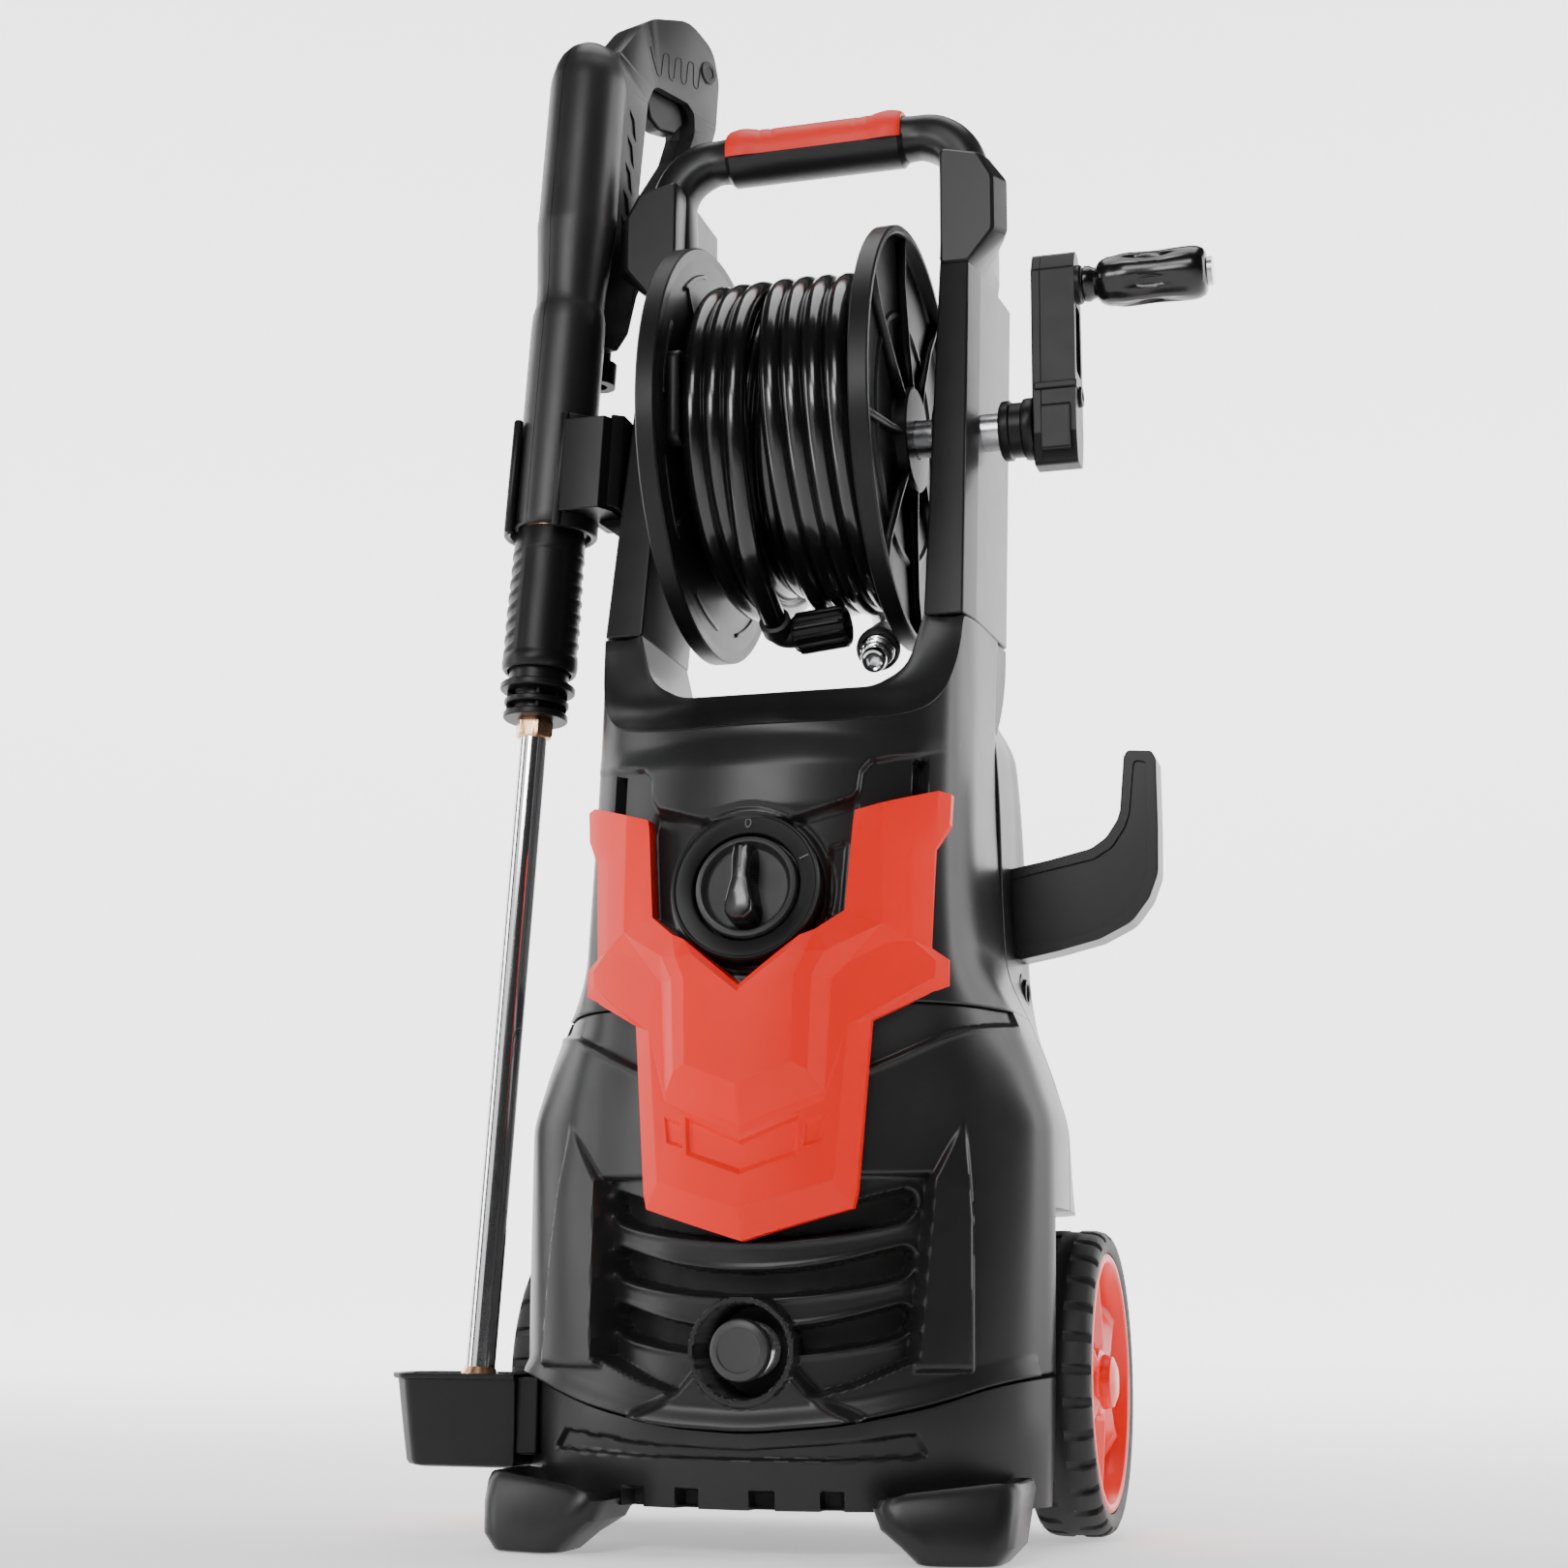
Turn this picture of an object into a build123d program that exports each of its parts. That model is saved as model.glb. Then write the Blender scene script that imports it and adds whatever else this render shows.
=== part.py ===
from build123d import *
import math
import os

os.makedirs("parts", exist_ok=True)

# ---------------------------------------------------------------- dimensions
# Machine axes: x across (right +), y front (-) to back (+), z up, all in mm.
# The nodes are written with the origin under the middle of the machine's box.
OFF_X, OFF_Y = -15.5, -7.5

WALL = 3.0                 # moulded shell thickness
Z_BASE = 24.0              # underside of the tub
Z_SPLIT_LOW = 72.0         # tub / lower cover joint
Z_SPLIT_HIGH = 300.0       # lower / upper front cover joint
Z_TOWER = 470.0            # top of the front tower
Z_REAR = 505.0             # top of the rear cover
Y_SPLIT = 20.0             # front / rear cover joint

WHEEL_R = 88.8             # 7 in wheel
WHEEL_Y, WHEEL_Z = 66.0, 89.0
WHEEL_X0, WHEEL_X1 = 135.0, 175.5
RIM_R = 75.4
AXLE_R = 7.95
AXLE_BORE = 8.0

REEL_Y, REEL_Z = 13.9, 671.8
REEL_R = 134.4
REEL_IN, REEL_OUT = 59.7, 72.0
DRUM_R = 80.0
COIL_R = 110.0
HOSE_D = 15.5
REEL_SHAFT_R = 11.95
REEL_BUSH_R = 12.0

UP_IN = 89.0               # inner faces of the uprights
CRANK_Z = 765.0            # hand grip axis

KNOB_C = (0.0, -116.0, 365.0)
KNOB_LEAN = 8.0            # degrees the control face leans back

INLET_Z = 108.5

LANCE_A = Vector(-184.5, -45.0, 91.0)     # two points on the lance axis
LANCE_B = Vector(-152.5, 5.0, 960.0)
HANDLE_DIR = Vector(0.35, 0.937, 0.0)     # side of the gun that the loop handle is on

GRIP_BORE, GRIP_PIN = 5.0, 4.95

NODES = {}


def put(name, shape):
    NODES[name] = shape


def box(x0, x1, y0, y1, z0, z1):
    return Pos((x0 + x1) / 2, (y0 + y1) / 2, (z0 + z1) / 2) * Box(x1 - x0, y1 - y0, z1 - z0)


def cyl(p, d, r, h):
    """Cylinder that starts at p and runs h along d."""
    return Plane(origin=p, z_dir=d) * Cylinder(r, h, align=(Align.CENTER, Align.CENTER, Align.MIN))


def xcyl(x0, x1, y, z, r):
    return cyl((x0, y, z), (1, 0, 0), r, x1 - x0)


def xtube(x0, x1, y, z, r, ri):
    return xcyl(x0, x1, y, z, r) - xcyl(x0 - 1, x1 + 1, y, z, ri)


def ring(p, d, r, ri, h):
    v = Vector(*d).normalized()
    q = Vector(*p) - v
    return cyl(p, d, r, h) - cyl((q.X, q.Y, q.Z), d, ri, h + 2)


def prism_y(pts, y0, y1):
    """Polygon of (x, z) points run from y0 to y1."""
    face = make_face(Polyline([(x, y0, z) for x, z in pts], close=True))
    return extrude(face, amount=y1 - y0, dir=(0, 1, 0))


def prism_z(pts, z0, z1):
    face = make_face(Polyline([(x, y, z0) for x, y in pts], close=True))
    return extrude(face, amount=z1 - z0, dir=(0, 0, 1))


def prism_x(pts, x0, x1):
    face = make_face(Polyline([(x0, y, z) for y, z in pts], close=True))
    return extrude(face, amount=x1 - x0, dir=(1, 0, 0))


def ruled(sections):
    faces = [make_face(Polyline(list(s), close=True)) for s in sections]
    return loft(faces, ruled=True)


def mirror_x(s):
    return mirror(s, about=Plane.YZ)


# ---------------------------------------------------------------- body outline
# Half outlines, front centre round to back centre, at each height.
HALF = [
    (24.0, [(0, -114), (30, -111.5), (60, -105), (92, -93), (118, -79), (137, -61), (149, -44), (154, -28), (154, 20), (154, 70), (147, 113), (118, 136), (0, 140)]),
    (72.0, [(0, -118), (30, -115.5), (60, -109), (92, -97), (119, -82), (139, -64), (152, -46), (157, -30), (157, 20), (157, 70), (150, 115), (120, 138), (0, 142)]),
    (230.0, [(0, -113), (30, -110.5), (60, -103), (92, -88), (117, -77), (137, -62), (152, -46), (159, -28), (159, 20), (158, 70), (150, 112), (118, 135), (0, 140)]),
    (262.0, [(0, -113), (30, -110.5), (60, -103), (92, -89), (113, -79), (130, -64), (144, -47), (151, -29), (151, 20), (150, 70), (143, 109), (112, 131), (0, 136)]),
    (294.0, [(0, -113), (30, -110.5), (60, -103), (92, -90), (108, -80), (121, -66), (132, -48), (139, -30), (139, 20), (138, 70), (132, 105), (104, 126), (0, 131)]),
    (336.0, [(0, -113.5), (30, -111), (60, -103.5), (90, -91), (105, -80), (113, -68), (119, -50), (121, -30), (123, 20), (125, 60), (124, 90), (100, 116), (0, 123)]),
    (470.0, [(0, -104), (30, -101.5), (60, -94), (88, -82), (102, -71), (110, -60), (115, -42), (117, -25), (118, 20), (119, 60), (118, 88), (96, 112), (0, 118)]),
    (505.0, [(0, -92), (26, -90), (52, -83), (78, -72), (92, -60), (98, -50), (102, -36), (104, -20), (104, 20), (104, 60), (102, 82), (84, 99), (0, 104)]),
]


def grow(half, t):
    """Half outline moved outwards by t (inwards when t is negative)."""
    full = half + [(-x, y) for x, y in reversed(half[1:-1])]
    n = len(full)
    out = []
    for i in range(len(half)):
        ax, ay = full[i - 1]
        bx, by = full[i]
        cx, cy = full[(i + 1) % n]
        e1 = Vector(bx - ax, by - ay, 0).normalized()
        e2 = Vector(cx - bx, cy - by, 0).normalized()
        n1 = Vector(e1.Y, -e1.X, 0)
        n2 = Vector(e2.Y, -e2.X, 0)
        m = n1 + n2
        k = 2.0 * t / m.dot(m)
        out.append((bx + m.X * k, by + m.Y * k))
    out[0] = (0, out[0][1])
    out[-1] = (0, out[-1][1])
    return out


def outline(half):
    return half + [(-x, y) for x, y in reversed(half[1:-1])]


def body(t=0.0, z_shift=0.0):
    secs = []
    for z, half in HALF:
        zz = z
        if z == HALF[0][0]:
            zz = z - z_shift
        if z == HALF[-1][0]:
            zz = z + z_shift
        secs.append([(x, y, zz) for x, y in outline(grow(half, t))])
    return ruled(secs)


BODY_OUT = body(0.0)
BODY_IN = body(-WALL, -WALL)
BODY_UP3 = body(3.0, 1.0)

# wheel arches, closed by a wall of the same thickness
ARCH = box(131, 200, -28, 200, 0, 188) + box(-200, -131, -28, 200, 0, 188)
ARCH_WALL = box(128, 200, -31, 200, 0, 191) + box(-200, -128, -31, 200, 0, 191)

OUTER = BODY_OUT - ARCH
INNER = BODY_IN - ARCH_WALL
SHELL = OUTER - INNER

AXLE_HOLE = xcyl(-200, 200, WHEEL_Y, WHEEL_Z, AXLE_R + 0.05)

# the control face and its frame of reference
lean = math.radians(KNOB_LEAN)
KN = Vector(0, -math.cos(lean), math.sin(lean))     # out of the control face
KU = Vector(0, math.sin(lean), math.cos(lean))      # up the control face


def kp(n, u=0.0):
    v = Vector(*KNOB_C) + KN * n + KU * u
    return (v.X, v.Y, v.Z)


KND = (KN.X, KN.Y, KN.Z)
KNOB_HOLE = cyl(kp(-30), KND, 44.0, 60)
INLET_HOLE = cyl((0, -60, INLET_Z), (0, -1, 0), 30.0, 80)


def smile(x1, z_end, drop, h, x0=0.0):
    """Band that sags to the middle, as (x, z) points."""
    n = 12
    up, dn = [], []
    for i in range(n + 1):
        x = -x1 + 2 * x1 * i / n
        z = z_end - drop * (1 - (x / x1) ** 2)
        up.append((x, z + h / 2))
        dn.append((x, z - h / 2))
    return up + list(reversed(dn))


# ---------------------------------------------------------------- housing
tub = SHELL & box(-300, 300, -300, 300, 0, Z_SPLIT_LOW)
for vx in (-69, -31, 5, 47):
    tub = tub - box(vx - 6, vx + 6, -130, -95, 28, 33)
for y in (-60, -20, 20, 60, 100):                     # drain slots in the floor
    tub = tub - box(-70, 70, y - 2.5, y + 2.5, 20, 30)
tub = tub - AXLE_HOLE
put("base_tub", tub)

low = SHELL & box(-300, 300, -300, Y_SPLIT, Z_SPLIT_LOW, Z_SPLIT_HIGH)
for ze in (186, 154, 123.5):                          # air slots across the front
    low = low - prism_y(smile(93, ze, 9, 11), -140, -60)
low = low - INLET_HOLE
put("lower_front_cover", low)

tow = SHELL & box(-300, 300, -300, Y_SPLIT, Z_SPLIT_HIGH, Z_TOWER)
tow = tow + ((OUTER & box(-300, 300, -300, Y_SPLIT, Z_TOWER - WALL, Z_TOWER)))
tow = tow - KNOB_HOLE
put("tower_cover", tow)

rear = SHELL & box(-300, 300, Y_SPLIT, 300, Z_SPLIT_LOW, 600)
for z in range(330, 451, 24):                         # rear air slots
    rear = rear - box(-60, 60, 100, 140, z - 4, z + 4)
rear = rear - AXLE_HOLE
rear = rear + (BODY_OUT & box(-300, 300, Y_SPLIT, Y_SPLIT + WALL, Z_TOWER, 600))
put("rear_cover", rear)

# ---------------------------------------------------------------- front trims
PANEL = [(60, 407), (111, 421), (107, 310), (69, 288), (61, 186), (0, 167), (-61, 186), (-69, 288), (-107, 310), (-111, 421), (-60, 407), (-57, 351), (0, 308), (57, 351)]
arc_out = [(x, -126.5 + x * x / 257.0) for x in range(-120, 121, 10)]
blank = prism_z(arc_out + [(120, -50), (-120, -50)], 160, 430)
panel = (prism_y(PANEL, -140, -60) & blank) - BODY_OUT - KNOB_HOLE
panel = panel - cyl((0, -60, INLET_Z), (0, -1, 0), 30.0, 80)
put("accent_panel", panel)

SKIN = BODY_UP3 - BODY_OUT
CHEEK = [(74, 291), (101, 303), (116, 296), (126, 262), (108, 205), (66, 190)]
cheek = prism_y(CHEEK, -140, -60) & SKIN
NODES["lower_front_cover"] = NODES["lower_front_cover"] + cheek + mirror_x(cheek)

LIGHT = [(-89, 442), (-65, 436), (-58, 411), (58, 411), (65, 436), (89, 442), (70, 462), (-70, 462)]
NODES["tower_cover"] = NODES["tower_cover"] + ((prism_y(LIGHT, -140, -60) & SKIN) - KNOB_HOLE)

lip = prism_y(smile(144, 92, 22, 5), -150, -30) & (body(5.0) - BODY_OUT)
NODES["lower_front_cover"] = NODES["lower_front_cover"] + (lip - cyl((0, -60, INLET_Z), (0, -1, 0), 30.0, 80) - box(-300, 300, -300, 300, 0, Z_SPLIT_LOW))

# ---------------------------------------------------------------- controls
bez = ring(kp(-16), KND, 44.0, 31.0, 22) + ring(kp(-16), KND, 31.5, 12.0, 4)
put("switch_bezel", bez)
knob = cyl(kp(-11.5), KND, 30.4, 12.5) + cyl(kp(1), KND, 24.0, 5)
bar = Plane(origin=kp(6), x_dir=(1, 0, 0), z_dir=KND) * Box(13, 46, 10, align=(Align.CENTER, Align.CENTER, Align.MIN))
knob = knob + (bar & cyl(kp(0), KND, 24.0, 30))
knob = knob + cyl(kp(-25), KND, 5.0, 20)
put("switch_knob", knob)
sw = Plane(origin=kp(-56), x_dir=(1, 0, 0), z_dir=KND) * Box(52, 60, 40, align=(Align.CENTER, Align.CENTER, Align.MIN))
put("switch_box", sw - cyl(kp(-26), KND, 5.05, 40))

# ---------------------------------------------------------------- water inlet
NODES["lower_front_cover"] = NODES["lower_front_cover"] + (ring((0, -112, INLET_Z), (0, -1, 0), 30.0, 23.0, 8) + ring((0, -88, INLET_Z), (0, -1, 0), 30.0, 24.0, 24) + ring((0, -88, INLET_Z), (0, -1, 0), 24.5, 11.0, 3))
fit = ring((0, -40, INLET_Z), (0, -1, 0), 11.0, 8.0, 48) + ring((0, -91, INLET_Z), (0, -1, 0), 15.5, 8.0, 4)
fit = fit + ring((0, -91, INLET_Z), (0, -1, 0), 14.5, 8.0, 24)
for k in range(6):
    fit = fit + ring((0, -98 - 2.8 * k, INLET_Z), (0, -1, 0), 15.6, 14.0, 1.2)
fit = fit + (box(-12, 12, -50, -38, 98, 120) - cyl((0, -30, INLET_Z), (0, -1, 0), 8.0, 40))
put("inlet_fitting", fit)
put("inlet_cap", cyl((0, -115.5, INLET_Z), (0, -1, 0), 17.0, 10) + cyl((0, -101, INLET_Z), (0, -1, 0), 7.7, 15))

# ---------------------------------------------------------------- upper frame
SH = math.tan(math.radians(12.0))


def lean_prism(pts, y_at, depth):
    """(x, z) polygon whose front face leans back, run depth along +Y."""
    face = make_face(Polyline([(x, y_at(z), z) for x, z in pts], close=True))
    return extrude(face, amount=depth, dir=(0, 1, 0))


def front_y(z):
    return -60.0 + (z - 472.0) * SH * 0.72


U = [(-113, 540), (-114, 500), (-104, 478), (-70, 470), (70, 470), (104, 478), (114, 500), (113, 540), (UP_IN, 540), (82, 508), (62, 493), (-62, 493), (-82, 508), (-UP_IN, 540)]
cradle = lean_prism(U, front_y, 94) - (BODY_OUT & box(-300, 300, Y_SPLIT, 300, 0, 600))
put("reel_cradle", cradle)


def upright_sec(z, o=0.0):
    t = (z - 540.0) / (785.0 - 540.0)
    yf = front_y(540.0) + t * (4.0 - front_y(540.0))
    yr = yf + 94.0
    xf = 113.0 + t * (107.7 - 113.0)
    xr = 124.6 + t * (118.0 - 124.6)
    return [(UP_IN + o, yf + o, z), (xf - o, yf + o, z), (xf + 5 - o, yf + 20, z), (xr - o, yr - o, z), (UP_IN + o, yr - o, z)]


up = ruled([upright_sec(540), upright_sec(785)])
up = up - ruled([upright_sec(543, 3.5), upright_sec(782, 3.5)])
up = up + (xcyl(UP_IN, 122, REEL_Y, REEL_Z, 22) & ruled([upright_sec(600), upright_sec(740)]))
up = up - xcyl(60, 160, REEL_Y, REEL_Z, 16.0)
put("upright_right", up)

# shoulders that carry the handle
SHO = [(UP_IN, 785), (108, 785), (131, 806), (131, 846), (118, 862), (UP_IN, 866)]


def sho_sec(y, k):
    return [((x if x <= 108 else 108 + (x - 108) * k), y, z) for x, z in SHO]


sho = ruled([sho_sec(4, 0.75), sho_sec(14, 1.0), sho_sec(40, 0.55), sho_sec(70, 0.18), sho_sec(96, 0.12)])

path = FilletPolyline((98, 35, 800), (103, 35, 890), (-103, 35, 890), (-98, 35, 800), radius=30)
bail = sweep(Plane(origin=path @ 0, z_dir=path % 0) * Circle(15.2), path=path)
bail = bail + sho + mirror_x(sho)
grip_all = xcyl(-60, 60, 35, 890, 19.0) - xcyl(-61, 61, 35, 890, 15.2)
put("handle_grip", grip_all & box(-80, 80, 0, 80, 884, 930))
put("handle_bail", bail + (grip_all & box(-80, 80, 0, 80, 850, 884)))
put("upright_left", mirror_x(NODES["upright_right"]))

# ---------------------------------------------------------------- feet
foot = ruled([
    [(98, -137, 0), (143, -126, 0), (144, -88, 0), (98, -96, 0)],
    [(90, -139.5, 10), (149, -123, 10), (150, -76, 10), (90, -86, 10)],
    [(76, -138, 30), (150, -114, 30), (152, -62, 30), (76, -72, 30)],
    [(76, -136, 38), (149, -104, 38), (150, -66, 38), (76, -76, 38)],
])
foot = foot - BODY_OUT
put("front_feet", foot + mirror_x(foot))

# ---------------------------------------------------------------- wheels
put("axle", xcyl(-176.5, 176.5, WHEEL_Y, WHEEL_Z, AXLE_R))
wash = None
for s in (1, -1):
    for x0, x1 in ((131.0, 134.6), (170.4, 172.2)):
        a, b = sorted((s * x0, s * x1))
        w = xtube(a, b, WHEEL_Y, WHEEL_Z, 14.0, AXLE_R)
        wash = w if wash is None else wash + w
put("axle_washers", wash)
tprof = [(WHEEL_X0, RIM_R), (WHEEL_X1, RIM_R), (WHEEL_X1, 83.0), (WHEEL_X1 - 4.5, WHEEL_R), (WHEEL_X0 + 4.5, WHEEL_R), (WHEEL_X0, 83.0)]
tyre = revolve(make_face(Polyline([(x, 0, r) for x, r in tprof], close=True)), axis=Axis.X)
for k in range(30):
    tyre = tyre - Rot(12.0 * k, 0, 0) * box(WHEEL_X0 - 1, WHEEL_X0 + 11, -3.2, 3.2, WHEEL_R - 3.0, WHEEL_R + 5)
    tyre = tyre - Rot(12.0 * k + 6, 0, 0) * box(WHEEL_X1 - 11, WHEEL_X1 + 1, -3.2, 3.2, WHEEL_R - 3.0, WHEEL_R + 5)
tyre = Pos(0, WHEEL_Y, WHEEL_Z) * tyre
put("tyre_right", tyre)

hub = xtube(WHEEL_X0 + 1, WHEEL_X1 - 1, 0, 0, RIM_R, 66.0) + xcyl(WHEEL_X0, 170.0, 0, 0, 20.0) + xcyl(146, 152, 0, 0, 68)
for k in range(6):
    s = prism_y([(150, 16), (169, 16), (166, 68), (150, 68)], -9, 9)
    hub = hub + Rot(60.0 * k, 0, 0) * s
hub = hub - xcyl(120, 190, 0, 0, AXLE_BORE)
hub = Pos(0, WHEEL_Y, WHEEL_Z) * hub
put("wheel_hub_right", hub)
for n in ("tyre", "wheel_hub"):
    put(n + "_left", mirror_x(NODES[n + "_right"]))

# ---------------------------------------------------------------- hose reel
def flange(s):
    a, b = sorted((s * REEL_IN, s * (REEL_IN + 4.0)))
    f = xcyl(a, b, REEL_Y, REEL_Z, REEL_R - 2)
    a, b = sorted((s * REEL_IN, s * REEL_OUT))
    f = f + xtube(a, b, REEL_Y, REEL_Z, REEL_R, REEL_R - 7)
    f = f + xtube(a, b, REEL_Y, REEL_Z, 34, 12)
    for k in range(8):
        rib = box(min(s * REEL_IN, s * (REEL_OUT - 2)), max(s * REEL_IN, s * (REEL_OUT - 2)), -2, 2, 30, REEL_R - 3)
        f = f + Pos(0, REEL_Y, REEL_Z) * (Rot(45.0 * k, 0, 0) * rib)
    return f - xcyl(-200, 200, REEL_Y, REEL_Z, REEL_SHAFT_R)


put("reel_flange_right", flange(1))
put("reel_flange_left", flange(-1))
put("reel_drum", xtube(-REEL_IN, REEL_IN, REEL_Y, REEL_Z, DRUM_R, DRUM_R - 4) + xtube(-58, -50, REEL_Y, REEL_Z, DRUM_R - 3, REEL_SHAFT_R) + xtube(50, 58, REEL_Y, REEL_Z, DRUM_R - 3, REEL_SHAFT_R))
put("reel_shaft", xcyl(-110, 142, REEL_Y, REEL_Z, REEL_SHAFT_R))
bush = xtube(UP_IN, 112, REEL_Y, REEL_Z, 16.0, REEL_BUSH_R) + xtube(UP_IN - 4, UP_IN, REEL_Y, REEL_Z, 20.0, REEL_BUSH_R)
put("reel_bushes", bush + mirror_x(bush))
# the wound hose, one closed solid of the coil's outer shape
put("hose_coil", xtube(-58.0, 58.0, REEL_Y, REEL_Z, COIL_R, DRUM_R))

# ---------------------------------------------------------------- crank
put("crank_hub", xtube(126, 148, REEL_Y, REEL_Z, 19.0, REEL_SHAFT_R))
arm = prism_x([(REEL_Y - 14, 645), (REEL_Y + 14, 645), (REEL_Y + 14, 698), (REEL_Y + 12.5, 774), (REEL_Y + 6, 786), (REEL_Y - 6, 786), (REEL_Y - 12.5, 774), (REEL_Y - 14, 698)], 148, 176)
arm = arm - prism_x([(REEL_Y - 9, 704), (REEL_Y + 9, 704), (REEL_Y + 8, 752), (REEL_Y - 8, 752)], 156, 180)
put("crank_arm", arm)
put("crank_spindle", xcyl(160, 258, REEL_Y, CRANK_Z, GRIP_PIN) + xcyl(258, 261, REEL_Y, CRANK_Z, 9.0))
gp = [(180, GRIP_BORE), (180, 11), (187, 10), (190, 15), (205, 17), (225, 16), (245, 17), (254, 15.5), (257.6, 12), (257.6, GRIP_BORE)]
grip = revolve(make_face(Polyline([(x, 0, r) for x, r in gp], close=True)), axis=Axis.X)
put("crank_grip", Pos(0, REEL_Y, CRANK_Z) * grip)
NODES["crank_arm"] = NODES["crank_arm"] - xcyl(150, 190, REEL_Y, CRANK_Z, GRIP_PIN)

# ---------------------------------------------------------------- hose ends
def on_reel(x, deg, r):
    a = math.radians(deg)
    return (x, REEL_Y + r * math.cos(a), REEL_Z + r * math.sin(a))


LEAD_PTS = [on_reel(-18.5, -152, 103.5), on_reel(-18.0, -125, 120.0), (-17.0, -2.0, 553.0)]
NIP_DIR = Vector(0.10, -0.86, -0.50).normalized()
NIP_TIP = Vector(47.0, -5.0, 523.0)
BOOT0 = NIP_TIP - NIP_DIR * 65.0
TAIL_PTS = [on_reel(2.0, 22, 104.0), on_reel(6.0, -4, 120.0), on_reel(18.0, -30, 123.0), on_reel(33.0, -54, 123.0), (BOOT0.X, BOOT0.Y, BOOT0.Z)]


def cord_path(pts):
    radii = []
    for a, b, c in zip(pts, pts[1:], pts[2:]):
        u, v = Vector(*b) - Vector(*a), Vector(*c) - Vector(*b)
        turn = math.radians(u.get_angle(v))
        radii.append(0.45 * min(u.length, v.length) / math.tan(turn / 2))
    return FilletPolyline(*pts, radius=radii), radii


def tube(pts, r):
    path, radii = cord_path(pts)
    return sweep(Plane(origin=path @ 0, z_dir=path % 0) * Circle(r), path=path), radii, path.length


lead, lead_radii, lead_len = tube(LEAD_PTS, HOSE_D / 2)
tail, tail_radii, tail_len = tube(TAIL_PTS, HOSE_D / 2)
print("hose lead arc radii, mm:", [round(r, 1) for r in lead_radii], "length", round(lead_len, 1), "volume ratio", round(lead.volume / (lead_len * math.pi * (HOSE_D / 2) ** 2), 4))
print("hose tail arc radii, mm:", [round(r, 1) for r in tail_radii], "length", round(tail_len, 1), "volume ratio", round(tail.volume / (tail_len * math.pi * (HOSE_D / 2) ** 2), 4))
put("hose_lead", lead)
put("hose_tail", tail)
d0 = (Vector(*LEAD_PTS[2]) - Vector(*LEAD_PTS[1])).normalized()
elbow = cyl(LEAD_PTS[2], (d0.X, d0.Y, d0.Z), 9.5, 9) + Pos(-15.5, 9.0, 547.5) * Sphere(9.5)
NUT_DIR = (0.995, -0.05, 0.09)
elbow = elbow + cyl((-15.5, 9.0, 547.2), NUT_DIR, 8.5, 14)
nutp = Plane(origin=(-6.5, 8.5, 547.6), x_dir=(0, 1, 0), z_dir=NUT_DIR)
nut2 = nutp * Cylinder(12.0, 35, align=(Align.CENTER, Align.CENTER, Align.MIN))
for k in range(12):
    nut2 = nut2 + nutp * (Rot(0, 0, 30 * k) * (Pos(12.0, 0, 2) * Box(2.6, 2.6, 31, align=(Align.CENTER, Align.CENTER, Align.MIN))))
nut2 = nut2 - nutp * (Pos(0, 0, 20) * Cylinder(9.0, 20, align=(Align.CENTER, Align.CENTER, Align.MIN)))
put("hose_nut", elbow + nut2)
bp = Plane(origin=(BOOT0.X, BOOT0.Y, BOOT0.Z), z_dir=(NIP_DIR.X, NIP_DIR.Y, NIP_DIR.Z))
boot = make_face(Polyline([(0, 0, 0), (8.6, 0, 0), (11.0, 0, 10), (13.6, 0, 32), (13.6, 0, 38), (0, 0, 38)], close=True))
put("hose_boot", bp * revolve(boot, axis=Axis.Z))
nip = make_face(Polyline([(4.0, 0, 38), (10.5, 0, 38), (10.5, 0, 42), (8.5, 0, 44), (8.5, 0, 49), (9.5, 0, 50), (9.5, 0, 52), (7.0, 0, 54), (7.0, 0, 60), (7.9, 0, 61), (7.9, 0, 64), (6.8, 0, 65), (4.0, 0, 65)], close=True))
put("hose_nipple", bp * revolve(nip, axis=Axis.Z))

# ---------------------------------------------------------------- cord hook, gland, lance cup, clip
hook = prism_y([(118, 341), (127, 341), (158, 348), (192, 366), (206, 380), (212, 400), (212, 440), (208, 467), (192, 467), (186, 440), (186, 420), (176, 404), (150, 398), (118, 400)], 47, 73)
hook = hook - OUTER
put("cord_hook", hook)
gl = (Pos(124, 60, 322) * (Rot(0, 90, 0) * Cylinder(13, 14))) & box(110, 140, 40, 80, 300, 345)
gl = gl - cyl((100, 60, 322), (1, 0, 0), 5.0, 60)
put("cable_gland", gl - OUTER)

CUP_LO = [(-158, -72), (-213, -72), (-223, -60), (-223, -38), (-213, -27), (-158, -27)]
CUP_HI = [(-158, -75), (-219, -75), (-230, -62), (-230, -38), (-219, -27), (-158, -27)]


def inset(pts, t):
    cx = sum(x for x, y in pts) / len(pts)
    cy = sum(y for x, y in pts) / len(pts)
    return [(x + t if x < cx else x - t, y + t if y < cy else y - t) for x, y in pts]


cup = ruled([[(x, y, 40) for x, y in CUP_LO], [(x, y, 93) for x, y in CUP_HI]])
cup = cup - ruled([[(x, y, 44) for x, y in inset(CUP_LO, 3)], [(x, y, 93.5) for x, y in inset(CUP_HI, 3)]])
cup = cup + box(-160, -140, -70, -34, 46, 90)
cup = cup - BODY_OUT - NODES["lower_front_cover"]
put("lance_cup", cup)

# ---------------------------------------------------------------- gun and lance
AX = (LANCE_B - LANCE_A).normalized()
HX = (HANDLE_DIR - AX * HANDLE_DIR.dot(AX)).normalized()
GUN = Plane(origin=(LANCE_A.X, LANCE_A.Y, LANCE_A.Z), x_dir=(HX.X, HX.Y, HX.Z), z_dir=(AX.X, AX.Y, AX.Z))


def W(z):
    """Distance along the lance axis of the point at height z."""
    return (z - LANCE_A.Z) / AX.Z


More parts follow.
